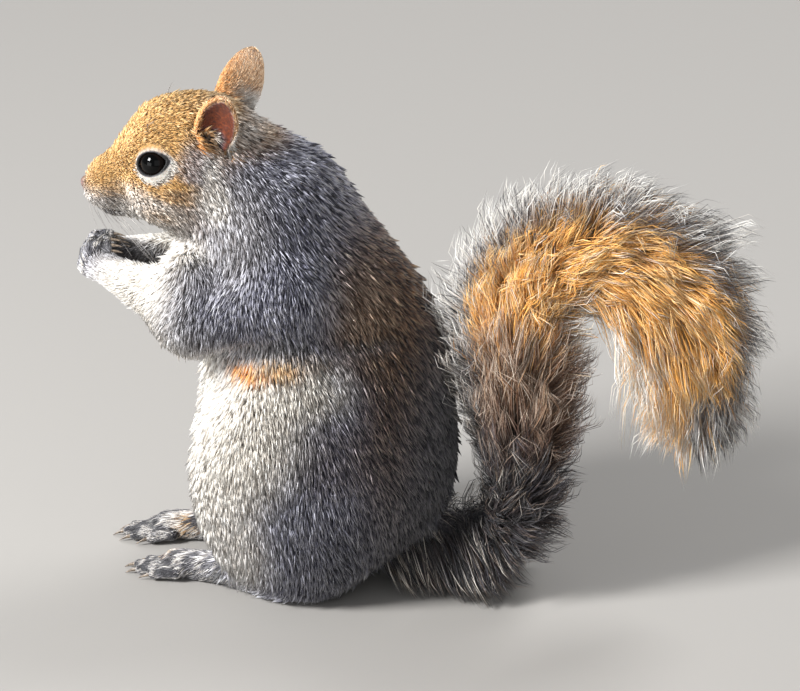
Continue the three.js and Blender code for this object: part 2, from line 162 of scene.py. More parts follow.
@dataclass(frozen=True)
class Limb:
    """A round limb between two points, with a radius and a depth of coat at each end."""

    start: Triple
    end: Triple
    radii: tuple[float, float]
    coats: tuple[float, float] = (0.0, 0.0)

    def distance(self, points: Array, coat: float) -> Array:
        """Distances to the surface, with a share of the coat taken off.

        Args:
            points: Points, one in each row.
            coat: The share of the coat's depth to take off.

        Returns:
            The distances, below zero inside.
        """
        start = np.array(self.start, np.float32)
        axis = np.array(self.end, np.float32) - start
        local = points - start
        along = np.clip(local @ axis / (axis @ axis), 0.0, 1.0)
        radius = blend(self.radii[0] - self.coats[0] * coat, self.radii[1] - self.coats[1] * coat, along)
        return np.sqrt(((local - along[:, None] * axis) ** 2).sum(axis=1)) - radius

    def box(self) -> tuple[Array, Array]:
        """The lowest and highest corner of the space it takes."""
        ends = np.array([self.start, self.end])
        return ends.min(axis=0) - max(self.radii), ends.max(axis=0) + max(self.radii)


@dataclass(frozen=True)
class EarShell:
    """An ear: a flattened egg with its opening scooped out, leaning out and turned forward."""

    centre: Triple = (17.5, -41.0, 171.5)
    radii: Triple = (3.6, 7.7, 15.0)
    hollow_radii: Triple = (3.9, 6.7, 14.2)
    hollow_offset: Triple = (2.8, 0.6, 0.0)
    outward: float = 22.0
    back: float = 18.0
    forward: float = 6.0
    narrowing: float = 0.12
    coat: float = 0.35
    base_coat: float = 1.3  # how much deeper the coat gets towards the ear's root
    canal: Ellipsoid = Ellipsoid((0.6, -1.4, -8.5), (3.2, 2.3, 4.2))
    fold: Limb = Limb((-0.6, 4.6, -9.5), (-0.4, 3.4, 1.0), (1.3, 0.5))

    def to_local(self, points: Array) -> Array:
        """Points in the ear's own frame: thick, wide, high."""
        local = turned(points - np.array(self.centre, np.float32), "X", self.back)
        return turned(turned(local, "Y", -self.outward), "Z", self.forward)

    def egg(self, local: Array, radii: Triple) -> Array:
        """Distances to an egg that narrows towards the top, in the ear's own frame.

        Args:
            local: Points in the ear's own frame.
            radii: Half the egg's thickness, width and height.

        Returns:
            The distances, below zero inside.
        """
        height = np.maximum(local[:, 2] / radii[2], 0.0)
        widened = local.copy()
        widened[:, 1] /= 1.0 - self.narrowing * np.minimum(height, 1.0) ** 2
        return Ellipsoid((0.0, 0.0, 0.0), radii).distance(widened, 0.0)

    def shells(self, local: Array, coat: float) -> tuple[Array, Array]:
        """Distances to the ear's back and to its hollow, in the ear's own frame.

        Args:
            local: Points in the ear's own frame.
            coat: The share of the coat's depth to take off.

        Returns:
            The distances to the back and to the hollow.
        """
        outer = self.egg(local, tuple(radius - self.coat * coat for radius in self.radii))
        outer = outer + coat * self.base_coat * rise(0.0, -9.0, local[:, 2]) * rise(0.5, -1.0, local[:, 0])
        return outer, self.egg(local - np.array(self.hollow_offset, np.float32), self.hollow_radii)

    def distance(self, points: Array, coat: float) -> Array:
        """Distances to the surface, with a share of the coat taken off.

        Args:
            points: Points, one in each row.
            coat: The share of the coat's depth to take off.

        Returns:
            The distances, below zero inside.
        """
        local = self.to_local(points)
        outer, hollow = self.shells(local, coat)
        shell = melt(carve(outer, hollow, 0.9), self.fold.distance(local, 0.0), 1.2)
        return carve(shell, self.canal.distance(local, 0.0), 1.0)

    def box(self) -> tuple[Array, Array]:
        """The lowest and highest corner of the space it takes."""
        reach = max(self.radii) + 1.0
        return np.array(self.centre) - reach, np.array(self.centre) + reach


Shape = Ellipsoid | Limb | EarShell


@dataclass(frozen=True)
class Mass:
    """Shapes of one body part, each melted into those before it."""

    name: str
    shapes: tuple[tuple[Shape, float], ...]
    melt: float
    side: int = 0  # 0 is the same on both sides, 1 the left side only, -1 the right only
    margin: float = 14.0  # how far round it distances are still worked out

    def near(self, points: Array) -> Array:
        """Which points lie near enough for the mass to matter.

        Args:
            points: Points, one in each row.

        Returns:
            True for each point that does.
        """
        boxes = [shape.box() for shape, _ in self.shapes]
        low = np.min([low for low, _ in boxes], axis=0) - self.margin
        high = np.max([high for _, high in boxes], axis=0) + self.margin
        placed = to_left(points, self.side)
        return ((placed > low) & (placed < high)).all(axis=1)

    def distance(self, points: Array, coat: float) -> Array:
        """Distances to the mass's surface, with a share of the coat taken off.

        Args:
            points: Points, one in each row.
            coat: The share of the coat's depth to take off.

        Returns:
            The distances, below zero inside.
        """
        placed = to_left(points, self.side)
        result = None
        for shape, width in self.shapes:
            near = shape.distance(placed, coat)
            result = near if result is None else melt(result, near, width)
        return result


# ---------------------------------------------------------------- the tail's line

@dataclass
class TailLine:
    """The middle line of the tail, side on: along the floor, up, over and down."""

    root: tuple[float, float] = (20.0, 19.5)
    stand: float = 61.5
    foot_bend: float = 22.0
    curl_start: float = 98.0
    curl_radius: float = 31.2
    droop: float = 27.0
    root_radius: float = 17.0
    full_radius: float = 29.3
    tip_radius: float = 5.0
    full_from: float = 0.55
    taper_from: float = 0.74
    flatness: float = 0.62  # width from side to side, as a share of the depth side on
    flesh: tuple[float, float] = (6.5, 2.0)
    samples: int = 600

    def __post_init__(self) -> None:
        """Samples the line at even steps of its length."""
        flat_end = self.stand - self.foot_bend
        foot = np.linspace(-np.pi / 2, 0.0, 60)
        curl = np.linspace(np.pi, 0.0, 120)
        top = self.stand + 2 * self.curl_radius
        path = np.concatenate([
            [self.root, (flat_end, self.root[1])],
            np.stack([
                flat_end + self.foot_bend * np.cos(foot),
                self.root[1] + self.foot_bend * (1.0 + np.sin(foot)),
            ], axis=1)[1:],
            np.stack([
                self.stand + self.curl_radius * (1.0 + np.cos(curl)),
                self.curl_start + self.curl_radius * np.sin(curl),
            ], axis=1),
            [(top - 1.0, self.curl_start - self.droop)],
        ])
        steps = np.concatenate([[0.0], np.cumsum(np.linalg.norm(np.diff(path, axis=0), axis=1))])
        self.length = float(steps[-1])
        even = np.linspace(0.0, self.length, self.samples)
        self.points = np.stack([np.interp(even, steps, path[:, i]) for i in (0, 1)], axis=1)
        self.tangents = unit(np.gradient(self.points, axis=0))

    def at(self, share: Array) -> tuple[Array, Array, Array]:
        """Where the line is at shares of its length.

        Args:
            share: Shares of the length; past 1 the line runs straight on.

        Returns:
            The points, the ways the line runs, and the ways out square to it, as 3-D vectors.
        """
        inside = np.clip(share, 0.0, 1.0) * (self.samples - 1)
        steps = np.arange(self.samples)
        flat = [np.interp(inside, steps, values[:, i])
                for values in (self.points, self.tangents) for i in (0, 1)]
        zero = np.zeros_like(inside)
        way = unit(np.stack([zero, flat[2], flat[3]], axis=1))
        past = (share - np.clip(share, 0.0, 1.0))[:, None] * self.length
        point = np.stack([zero, flat[0], flat[1]], axis=1) + way * past
        out = np.stack([zero, -way[:, 2], way[:, 1]], axis=1)
        return point, way, out

    def radius(self, share: Array) -> Array:
        """The brush's radius, side on, at shares of the length.

        Args:
            share: Shares of the tail's length.

        Returns:
            The radii.
        """
        swelling = np.sin(np.clip(share / self.full_from, 0.0, 1.0) * np.pi / 2)
        taper = np.clip((share - self.taper_from) / (1.0 - self.taper_from), 0.0, 1.0)
        full = blend(self.root_radius, self.full_radius, swelling) * np.sqrt(1.0 - taper**2)
        return np.maximum(full, self.tip_radius)

    def flesh_radius(self, share: Array) -> Array:
        """The radius of the bare tail under the hair."""
        return blend(self.flesh[0], self.flesh[1], np.clip(share, 0.0, 1.0) ** 0.6)

    def flesh_shapes(self, count: int = 26) -> tuple[tuple[Limb, float], ...]:
        """The bare tail as a row of short limbs.

        Args:
            count: How many limbs.

        Returns:
            Each shape and the width it melts over.
        """
        shares = np.linspace(-0.05, 1.0, count + 1)
        points = self.at(shares)[0]
        radii = self.flesh_radius(shares)
        return tuple(
            (Limb(tuple(points[i]), tuple(points[i + 1]), (float(radii[i]), float(radii[i + 1]))), 1.0)
            for i in range(count)
        )


# ---------------------------------------------------------------- the body

@dataclass(frozen=True)
class Eye:
    """An eye's place, its ball and the almond opening between its lids, on the left side."""

    centre: Triple = (14.2, -63.0, 154.9)
    radius: float = 5.6
    outward: Triple = (0.940, -0.240, 0.240)
    long_way: Triple = (0.165, 0.941, 0.296)
    opening: tuple[float, float] = (5.5, 3.9)  # half the length and height of the almond
    rim: tuple[float, float] = (7.3, 4.5)  # the same, out to the edge of the lids' dark skin
    ring: tuple[float, float] = (8.4, 6.1)  # the same, out to the edge of the pale fur
    ring_drop: float = 0.9
    lid: float = 0.75
    lid_melt: float = 3.4
    floor: float = 0.6

    def frame(self, points: Array) -> tuple[Array, Array, Array]:
        """Points as distances along, above and out from the eye's centre.

        Args:
            points: Points, one in each row.

        Returns:
            The three distances of each point.
        """
        local = points - np.array(self.centre, np.float32)
        out = np.array(self.outward, np.float32)
        long_way = np.array(self.long_way, np.float32)
        upward = np.cross(out, long_way)
        return local @ long_way, local @ upward, local @ out

    def almond(self, points: Array, size: tuple[float, float]) -> Array:
        """Distances to an almond of this half length and height, seen straight on.

        Args:
            points: Points, one in each row.
            size: Half the almond's length and height.

        Returns:
            The distances, below zero inside.
        """
        along, above, _ = self.frame(points)
        arc = (size[0] ** 2 + size[1] ** 2) / (2.0 * size[1])
        shift = arc - size[1]
        upper = np.hypot(along, above + shift) - arc
        lower = np.hypot(along, above - shift) - arc
        return np.maximum(upper, lower)

    def set_in(self, skin: Array, points: Array) -> Array:
        """Swells the lids round the ball and opens them.

        Args:
            skin: Distances to the skin at the points.
            points: Points, one in each row.

        Returns:
            The same with the eye let in.
        """
        _, _, out = self.frame(points)
        ball = np.linalg.norm(points - np.array(self.centre, np.float32), axis=1)
        lids = melt(skin, ball - self.radius - self.lid, self.lid_melt)
        pit = np.maximum(self.almond(points, self.opening), self.floor - out)
        return carve(lids, pit, 0.5)


@dataclass
class Body:
    """The whole squirrel under its coat, as masses that melt into each other."""

    tail: TailLine = field(default_factory=TailLine)
    eye: Eye = Eye()
    ear: EarShell = EarShell()
    floor: float = 1.1  # how high the skin of the underside lies
    finger_length: float = 6.6
    finger_radius: float = 1.2
    finger_base: Triple = (4.4, -88.0, 115.4)
    finger_reach: Triple = (-0.3, 5.2, 1.2)
    finger_spacing: Triple = (1.0, 0.4, -1.75)
    heel: Triple = (22.0, -12.0, 6.5)
    ball: Triple = (15.0, -62.0, 4.6)
    stride: tuple[float, float] = (5.0, -5.0)  # left, right
    toe_lengths: tuple[float, ...] = (9.0, 14.0, 15.5, 14.5, 9.5)
    toe_spacing: float = 2.8
    toe_splay: float = 6.0
    toe_radius: float = 1.75
    toe_height: float = 3.0
    toe_slope: float = 0.09
    folds: tuple[Limb, ...] = (
        Limb((25.5, -41.0, 90.5), (31.0, -18.0, 96.5), (0.6, 0.8)),
        Limb((31.0, -18.0, 96.5), (29.5, 0.5, 98.5), (0.8, 0.3)),
        Limb((29.5, 1.5, 99.5), (33.0, 1.5, 87.0), (1.0, 0.3)),
        Limb((29.5, 4.0, 97.5), (20.0, 20.0, 99.5), (0.3, 0.0)),
    )
    fold_depth: float = 2.2
    fold_width: float = 3.6
    fold_box: tuple[tuple[float, float], ...] = ((-56.0, 36.0), (42.0, 112.0))  # y and z of the folds
    face_back: float = -52.0  # eyes, nose and mouth lie ahead of this
    face_floor: float = 124.0  # and above this
    face_cuts: tuple[tuple[Limb, float], ...] = (
        (Limb((1.5, -93.2, 139.6), (2.9, -91.2, 139.9), (0.75, 0.5)), 0.4),  # the nostril
        (Limb((0.0, -93.4, 138.4), (0.0, -91.5, 135.2), (0.42, 0.5)), 0.5),  # the cleft of the lip
        (Limb((0.0, -91.3, 135.0), (5.0, -87.5, 133.9), (0.62, 0.55)), 0.7),  # the mouth
        (Limb((5.0, -87.5, 133.9), (7.6, -80.5, 134.2), (0.62, 0.55)), 0.7),
    )

    def __post_init__(self) -> None:
        """Puts the masses together, from the trunk outwards."""
        self.masses = [
            Mass("trunk", (
                (Ellipsoid((0, -7, 47.5), (39, 46.5, 49), 3.8), 0),
                (Ellipsoid((0, -5.5, 86), (33.5, 40, 39), 3.8), 20),
                (Ellipsoid((0, -24, 116), (30, 36.5, 30), 3.8), 20),
            ), 0, margin=20),
            Mass("neck", ((Limb((0, -26, 138), (0, -46, 153), (25, 20), (3.5, 2.6)), 0),), 16, margin=20),
            Mass("head", (
                (Ellipsoid((0, -55, 153.5), (19, 22, 21.5), 1.9), 0),
                (Limb((0, -62, 154.5), (0, -82, 143), (14.5, 7.5), (1.8, 1.1)), 8),
                (Ellipsoid((0, -82, 139.8), (8, 10.5, 8), 1.2, 20), 5),
                (Ellipsoid((11.5, -59, 142), (10.5, 14, 12), 2.2), 8),
                (Limb((0, -58, 136.5), (0, -80, 133.5), (10, 5.5), (2.2, 1.3)), 6),
                (Ellipsoid((4.6, -84.6, 137.4), (4.4, 6.0, 4.0), 0.9), 2),
                (Ellipsoid((0, -91.4, 139.4), (2.9, 2.0, 2.3), 0.2), 1.6),
            ), 8),
            Mass("arm", (
                (Limb((23, -14, 114), (22, -47.5, 103), (16.5, 15.5), (3.6, 3.2)), 0),
                (Limb((22, -47.5, 103), (7, -84.5, 110.8), (13.5, 4.8), (3.0, 0.9)), 7),
                (Ellipsoid((19, -47.5, 116), (12, 14, 12), 3.0), 7),
            ), 5),
            Mass("thigh", ((Ellipsoid((23.5, -13, 43.5), (22.5, 37, 46), 3.6), 0),), 6),
            Mass("hand", self.hand_shapes(), 3, margin=8),
            Mass("foot_left", self.foot_shapes(1), 3, side=1, margin=8),
            Mass("foot_right", self.foot_shapes(-1), 3, side=-1, margin=8),
            Mass("ear", ((self.ear, 0),), 2.2, margin=6),
            Mass("tail", self.tail.flesh_shapes(), 6, margin=10),
        ]

    def fingers(self) -> list[tuple[Array, Array]]:
        """Where each finger starts and which way it points, on the left hand.

        Returns:
            The base and the unit way of each.
        """
        reach = unit(np.array(self.finger_reach))
        return [
            (np.array(self.finger_base) + np.array(self.finger_spacing) * (index - 1.5), reach)
            for index in range(4)
        ]

    def hand_shapes(self) -> tuple[tuple[Shape, float], ...]:
        """The palm and its fingers, each with a pad at its tip.

        Returns:
            Each shape and the width it melts over.
        """
        shapes = [(Limb((5.6, -88.5, 110.8), (4.4, -88, 115.4), (4.9, 4.1), (1.2, 0.9)), 0)]
        for base, reach in self.fingers():
            end = base + reach * (self.finger_length - self.finger_radius)
            radii = (self.finger_radius, self.finger_radius * 0.75)
            shapes.append((Limb(tuple(base), tuple(end), radii), 0.8))
            pad = (self.finger_radius,) * 3
            shapes.append((Ellipsoid(tuple(end), pad), 0.5))
        return tuple(shapes)

    def toes(self, side: int) -> list[tuple[Array, Array, float]]:
        """Where each toe starts, which way it points and its length, carried to the left.

        Args:
            side: 1 for the left foot, -1 for the right.

        Returns:
            The base, unit way and length of each.
        """
        stride = self.stride[0] if side > 0 else self.stride[1]
        shift = np.array([0.0, stride, 0.0])
        ball = np.array(self.ball) + shift
        heel = np.array(self.heel) + shift
        forward = unit((ball - heel) * [1, 1, 0])
        outward = np.array([-forward[1], forward[0], 0.0])
        toes = []
        for index, length in enumerate(self.toe_lengths):
            place = index - 2
            splay = math.radians(place * self.toe_splay)
            way = forward * math.cos(splay) + outward * math.sin(splay)
            way[2] = -self.toe_slope
            base = ball + outward * place * self.toe_spacing - forward * abs(place)
            base[2] = self.toe_height
            toes.append((base, unit(way), length))
        return toes

    def foot_shapes(self, side: int) -> tuple[tuple[Shape, float], ...]:
        """The sole and its toes, each with a knuckle and a pad.

        Args:
            side: 1 for the left foot, -1 for the right.

        Returns:
            Each shape and the width it melts over.
        """
        stride = self.stride[0] if side > 0 else self.stride[1]
        heel, ball = ((x, y + stride, z) for x, y, z in (self.heel, self.ball))
        shapes = [(Limb(heel, ball, (7.5, 5.0), (1.2, 0.8)), 0)]
        for base, way, length in self.toes(side):
            knuckle = base + way * length * 0.45 + np.array([0, 0, 0.45])
            end = base + way * (length - self.toe_radius)
            radius = self.toe_radius
            shapes.append((Limb(tuple(base), tuple(knuckle), (radius, radius * 0.92)), 1.2))
            shapes.append((Limb(tuple(knuckle), tuple(end), (radius * 0.92, radius * 0.74)), 0.8))
            shapes.append((Ellipsoid(tuple(end), (radius * 0.85, radius, radius * 0.85)), 0.6))
        return tuple(shapes)

    def distance(self, points: Array, coat: float = 1.0) -> Array:
        """Distances to the skin, or to the outside of the coat.

        Args:
            points: Points, one in each row.
            coat: 1 for the skin, 0 for the outside of the coat.

        Returns:
            The distances, below zero inside.
        """
        points = points.astype(np.float32)
        result = np.full(len(points), FAR, np.float32)
        for mass in self.masses:
            near = mass.near(points)
            if near.any():
                result[near] = melt(result[near], mass.distance(points[near], coat), mass.melt)
        return result + self.fold_depth * self.folded(points)

    def folded(self, points: Array, width: float | None = None) -> Array:
        """How deep in a fold of the flank each point lies, from 0 to 1.

        Args:
            points: Points, one in each row.
            width: How far from its line a fold is felt, if not fold_width.

        Returns:
            The depths.
        """
        placed = to_left(points.astype(np.float32))
        result = np.zeros(len(points), np.float32)
        (front, rear), (bottom, top) = self.fold_box
        near = (placed[:, 1] > front) & (placed[:, 1] < rear)
        near &= (placed[:, 2] > bottom) & (placed[:, 2] < top)
        for fold in self.folds:
            gap = np.maximum(fold.distance(placed[near], 0.0), 0.0)
            result[near] = np.maximum(result[near], np.exp(-(gap / (width or self.fold_width)) ** 2))
        return result

    def skin(self, points: Array) -> Array:
        """Distances to the skin with its eyes, nostrils and mouth opened, flat underneath.

        Args:
            points: Points, one in each row.

        Returns:
            The distances, below zero inside.
        """
        result = self.distance(points)
        placed = to_left(points.astype(np.float32))
        face = (placed[:, 1] < self.face_back) & (placed[:, 2] > self.face_floor)
        if face.any():
            near = placed[face]
            skin = self.eye.set_in(result[face], near)
            for cut, width in self.face_cuts:
                skin = carve(skin, cut.distance(near, 0), width)
            result[face] = skin
        return np.maximum(result, self.floor - points[:, 2])

    def part_of(self, points: Array) -> Array:
        """Which mass each point lies nearest to, as its place in the list of masses.

        Args:
            points: Points, one in each row.

        Returns:
            The mass's place, for each point.
        """
        nearest = np.full(len(points), FAR * 2, np.float32)
        part = np.zeros(len(points), int)
        points = points.astype(np.float32)
        for index, mass in enumerate(self.masses):
            near = mass.near(points)
            distance = np.full(len(points), FAR, np.float32)
            distance[near] = mass.distance(points[near], 1.0)
            closer = distance < nearest
            nearest[closer] = distance[closer]
            part[closer] = index
        return part

    def on(self, part: Array, *names: str) -> Array:
        """Which points lie on one of the named masses, where part gives each point's mass."""
        return np.isin(part, [index for index, mass in enumerate(self.masses) if mass.name in names])


def slope(distance: Callable[[Array], Array], points: Array, step: float = 0.25) -> Array:
    """The way out of a surface at each point.

    Args:
        distance: Gives the distances of points.
        points: Points, one in each row.
        step: How far to either side the distance is felt for.

    Returns:
        Unit vectors pointing away from the body.
    """
    sides = []
    for axis in range(3):
        shift = np.zeros(3)
        shift[axis] = step
        sides.append(distance(points + shift) - distance(points - shift))
    return unit(np.stack(sides, axis=1))


# ---------------------------------------------------------------- from distances to a mesh

@dataclass(frozen=True)
class Grid:
    """A grid of cells that is fine where the small features are."""

    low: Triple
    high: Triple
    coarse: Triple = (1.35, 1.35, 1.35)
    fine: Triple = (0.55, 0.5, 0.5)
    fine_bands: tuple[tuple[tuple[float, float], ...], ...] = (
        ((-24.0, 24.0),),
        ((-97.0, -54.0),),
        ((0.0, 9.0), (130.0, 165.0)),
    )
    block: int = 8
    easing: float = 6.0  # how far outside a fine band the cells have doubled in size
    caution: float = 1.9  # how much further than half a block the surface is looked for
    batch: int = 2_000_000  # how many distances are worked out at a time

    def axis(self, index: int) -> Array:
        """Positions of the grid's lines along one axis.

        Args:
            index: 0, 1 or 2 for x, y or z.

        Returns:
            The positions, in order.
        """
        positions = [self.low[index]]
        while positions[-1] < self.high[index]:
            here = positions[-1]
            gap = min(max(low - here, here - high, 0.0) for low, high in self.fine_bands[index])
            positions.append(here + min(self.coarse[index], self.fine[index] * (1.0 + gap / self.easing)))
        return np.array(positions, np.float32)

    def values(self, distance: Callable[[Array], Array]) -> tuple[list[Array], Array]:
        """Works distances out on the grid, in full only near the surface.

        Args:
            distance: Gives the distances of points.

        Returns:
            The three axes' positions and the distance at every crossing of the grid.
        """
        axes = [self.axis(index) for index in range(3)]
        shape = tuple(len(axis) for axis in axes)
        sparse = [np.unique(np.append(np.arange(0, n, self.block), n - 1)) for n in shape]
        corners = np.stack(np.meshgrid(*[axis[s] for axis, s in zip(axes, sparse)], indexing="ij"), -1)
        coarse = distance(corners.reshape(-1, 3)).reshape(corners.shape[:3])
        near = np.abs(coarse) < 0.5 * self.block * max(self.coarse) * self.caution
        grown = near.copy()
        for axis in range(3):
            for shift in (-1, 1):
                grown |= np.roll(near, shift, axis)
            near = grown.copy()
        owners = np.ix_(*(
            np.minimum(np.searchsorted(picks, np.arange(count), side="right") - 1, len(picks) - 1)
            for picks, count in zip(sparse, shape)
        ))
        values = np.where(coarse < 0, -FAR, FAR).astype(np.float32)[owners]
        wanted = np.argwhere(grown[owners])
        for start in range(0, len(wanted), self.batch):
            cells = wanted[start:start + self.batch]
            points = np.stack([axes[i][cells[:, i]] for i in range(3)], axis=1)
            values[tuple(cells.T)] = distance(points)
        return axes, values


def surface_net(axes: list[Array], values: Array) -> tuple[Array, Array]:
    """Makes a closed surface where the distances pass through zero.

    Args:
        axes: The three axes' positions.
        values: The distance at every crossing of the grid.

    Returns:
        The vertices, one in each cell that the surface crosses, and faces of four of them.
    """
    stride = np.array([values.shape[1] * values.shape[2], values.shape[2], 1])
    inside = values < 0
    cells, places, flips = [], [], []
    for axis in range(3):
        head = [slice(None)] * 3
        tail = [slice(None)] * 3
        head[axis] = slice(None, -1)
        tail[axis] = slice(1, None)
        where = np.argwhere(inside[tuple(head)] != inside[tuple(tail)])
        ahead = where.copy()
        ahead[:, axis] += 1
        here, there = values[tuple(where.T)], values[tuple(ahead.T)]
        share = here / (here - there)
        place = np.stack([axes[i][where[:, i]] for i in range(3)], axis=1)
        place[:, axis] = blend(axes[axis][where[:, axis]], axes[axis][ahead[:, axis]], share)
        index = where @ stride
        u, v = stride[(axis + 1) % 3], stride[(axis + 2) % 3]
        cells.append(np.stack([index - u - v, index - v, index, index - u], axis=1))
        places.append(np.repeat(place, 4, axis=0))
        flips.append(here >= 0)
    cells = np.concatenate(cells)
    places = np.concatenate(places)
    flips = np.concatenate(flips)
    names, owner = np.unique(cells, return_inverse=True)
    owner = owner.reshape(-1)
    count = np.bincount(owner)
    vertices = np.stack([np.bincount(owner, places[:, i]) / count for i in range(3)], axis=1)
    faces = owner.reshape(-1, 4)
    faces[flips] = faces[flips][:, ::-1]
    return vertices, faces


def make_mesh(name: str, vertices: Array, faces: Array) -> bpy.types.Mesh:
    """Makes a smooth mesh from millimetres.

    Args:
        name: The mesh's name.
        vertices: Points in millimetres, one in each row.
        faces: The vertices of each face, the same number in each.

    Returns:
        The mesh, in metres.
    """
    mesh = bpy.data.meshes.new(name)
    mesh.vertices.add(len(vertices))
    mesh.vertices.foreach_set("co", (vertices * MM).astype(np.float32).ravel())
    mesh.loops.add(faces.size)
    mesh.polygons.add(len(faces))
    mesh.loops.foreach_set("vertex_index", faces.astype(np.int32).ravel())
    mesh.polygons.foreach_set("loop_start", np.arange(0, faces.size, faces.shape[1], dtype=np.int32))
    mesh.update(calc_edges=True)
    mesh.shade_smooth()
    return mesh


def ring_faces(rings: int, sides: int) -> Array:
    """Closes a row of rings between two end points with triangles.

    Args:
        rings: How many rings there are.
        sides: How many vertices each ring has.

    Returns:
        The faces of a mesh whose vertices are one end, the rings in turn and the other end.
    """
    faces = []
    last = 1 + (rings - 1) * sides
    for side in range(sides):
        after = (side + 1) % sides
        faces.append((0, 1 + side, 1 + after))
        for low in range(1, last, sides):
            high = low + sides
            faces.append((low + side, high + side, high + after))
            faces.append((low + side, high + after, low + after))
        faces.append((last + side, last + sides, last + after))
    return np.array(faces)


def add_values(mesh: bpy.types.Mesh, name: str, values: Array) -> None:
    """Stores a number for each vertex of a mesh, where its finish reads it."""
    layer = mesh.attributes.new(name, "FLOAT", "POINT")
    layer.data.foreach_set("value", values.astype(np.float32))


def add_piece(mesh: bpy.types.Mesh, material: Material, slot: str) -> bpy.types.Object:
    """Puts a mesh in the scene as a piece of the squirrel.

    Args:
        mesh: The mesh, which gives the piece its name.
        material: Its finish.
        slot: The record's name for that finish; it is not used.

    Returns:
        The new object.
    """
    piece = bpy.data.objects.new(mesh.name, mesh)
    bpy.context.scene.collection.objects.link(piece)
    mesh.materials.append(material)
    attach(piece, "root")
    log.info("%s: %d faces", mesh.name, len(mesh.polygons))
    return piece


# ---------------------------------------------------------------- markings

class Marking(Enum):
    """The colours that the coat and skin are marked with, over plain grey."""

    GREY = -1
    BROWN = 0
    OCHRE = 1
    ORANGE = 2
    PALE = 3
    DARK = 4
    BARE = 5


MARKINGS = len(Marking) - 1  # all but plain grey are stored


@dataclass(frozen=True)
class Patch:
    """A blot of one colour with a soft edge, on both sides unless a side is given."""

    marking: Marking
    centre: Triple
    radii: Triple
    strength: float = 1.0
    soft: float = 0.5
    side: int = 0

    def amount(self, points: Array) -> Array:
        """How strongly the patch marks each point.

        Args:
            points: Points, one in each row.

        Returns:
            The amounts, from 0 to the patch's strength.
        """
        placed = to_left(points, self.side)
        reach = np.linalg.norm((placed - np.array(self.centre)) / np.array(self.radii), axis=1)
        return self.strength * rise(1.0 + self.soft, 1.0 - self.soft, reach)


M = Marking
PATCHES = (
    # the head, from the crown forward
    Patch(M.OCHRE, (0, -72, 160), (32, 34, 25), 0.97, 0.3),
    Patch(M.OCHRE, (0, -34, 171), (18, 14, 13), 0.6),
    Patch(M.PALE, (9, -33, 169), (11, 6, 6), 0.55),
    Patch(M.PALE, (10, -66, 127), (17, 28, 9), 0.9, 0.3),
    Patch(M.PALE, (17, -69, 138.5), (13, 18, 7.5), 0.8, 0.4),
    Patch(M.PALE, (9, -85, 135.5), (8, 9, 5.5), 0.85, 0.4),
    Patch(M.GREY, (20, -50, 158), (7, 6, 9), 0.65),
    Patch(M.OCHRE, (22, -56, 148.0), (8, 12, 4.2), 0.9, 0.35),
    Patch(M.BROWN, (23, -54, 146.8), (5, 9, 2.6), 0.5, 0.4),
    Patch(M.PALE, (22, -43, 146), (8, 6.5, 8), 0.7),
    Patch(M.PALE, (20, -44, 157), (5, 3.5, 6), 0.6),
    Patch(M.OCHRE, (14, -68, 139), (14, 22, 10), 0.42, 0.6),
    Patch(M.OCHRE, (9, -84, 140.5), (9, 10, 3.0), 0.6, 0.5),
    Patch(M.OCHRE, (20, -63, 137), (6, 6.5, 3.2), 0.6),
    # the throat under the jaw: painted shade under the chin, over its own ochre hair
    Patch(M.BROWN, (17, -55, 130), (10, 9, 5), 0.6, 0.6),
    Patch(M.GREY, (8.6, -84, 136.2), (4, 5, 2.2), 0.25),
    Patch(M.DARK, (6, -83.5, 131.4), (6, 8, 1.6), 0.6, 0.6),
    Patch(M.BARE, (0, -93.4, 139.6), (3.2, 2.2, 2.4), 0.55, 0.3),
    # the neck, back and flanks
    Patch(M.PALE, (26, -36, 140), (12, 14, 22), 0.3, 0.6),
    Patch(M.BROWN, (0, 30, 96), (33, 26, 46), 0.85),
    # the side of the rump: its own browner hair, made darker still as painted shade
    Patch(M.BROWN, (24, 32, 60), (20, 22, 56), 0.8),
    Patch(M.BROWN, (14, 12, 122), (24, 14, 27), 0.7, 0.6),
    Patch(M.BROWN, (28, 14, 100), (12, 17, 10), 0.6, 0.6),
    Patch(M.OCHRE, (24, 12, 112), (12, 12, 18), 0.22, 0.7),
    Patch(M.BROWN, (36, 2, 62), (9, 15, 12), 0.3),
    # the rump and the low side of the haunch behind: their own dark hair, darkened further as painted shade
    Patch(M.DARK, (0, 44, 44), (44, 25, 54), 0.78, 0.5),
    Patch(M.DARK, (32, 17, 14), (20, 25, 27), 0.5, 0.6),
    # the white underside
    Patch(M.PALE, (6, -58, 60), (40, 32, 52), 1.0, 0.4),
    Patch(M.PALE, (35, -29, 68), (14, 22, 26), 0.95, 0.45),
    Patch(M.PALE, (36, -35, 28), (14, 16, 28), 0.7, 0.5),
    Patch(M.PALE, (0, -64, 110), (32, 24, 28), 0.85, 0.4),
    Patch(M.PALE, (33, -15, 86), (10, 21, 12), 0.95, 0.5),
    Patch(M.ORANGE, (31, -30, 87.4), (9, 11, 4.2), 0.95, 0.5),
    Patch(M.OCHRE, (33, -17, 90.2), (8, 9, 3.8), 0.85, 0.5),
    Patch(M.OCHRE, (33.5, -8, 94), (8, 11, 3.6), 0.4, 0.6),
    # the limbs
    Patch(M.PALE, (12, -66, 110), (16, 18, 16), 0.6),
    Patch(M.GREY, (5, -87, 115), (10, 11, 10), 0.45),
    # the tops of the wrists under the chin: their own greyer hair, darkened as painted shade
    Patch(M.DARK, (5, -70, 113), (5.5, 13, 6), 0.6),
    # the feet: their own dark, streaked hair, made darker still as painted shade
    Patch(M.BROWN, (14, -72, 4), (18, 30, 8), 0.4, 0.6),
    Patch(M.DARK, (14, -74, 4), (18, 28, 8), 0.7, 0.6),
    Patch(M.OCHRE, (12, -57, 6.5), (4.5, 4.5, 4.5), 0.8),
)


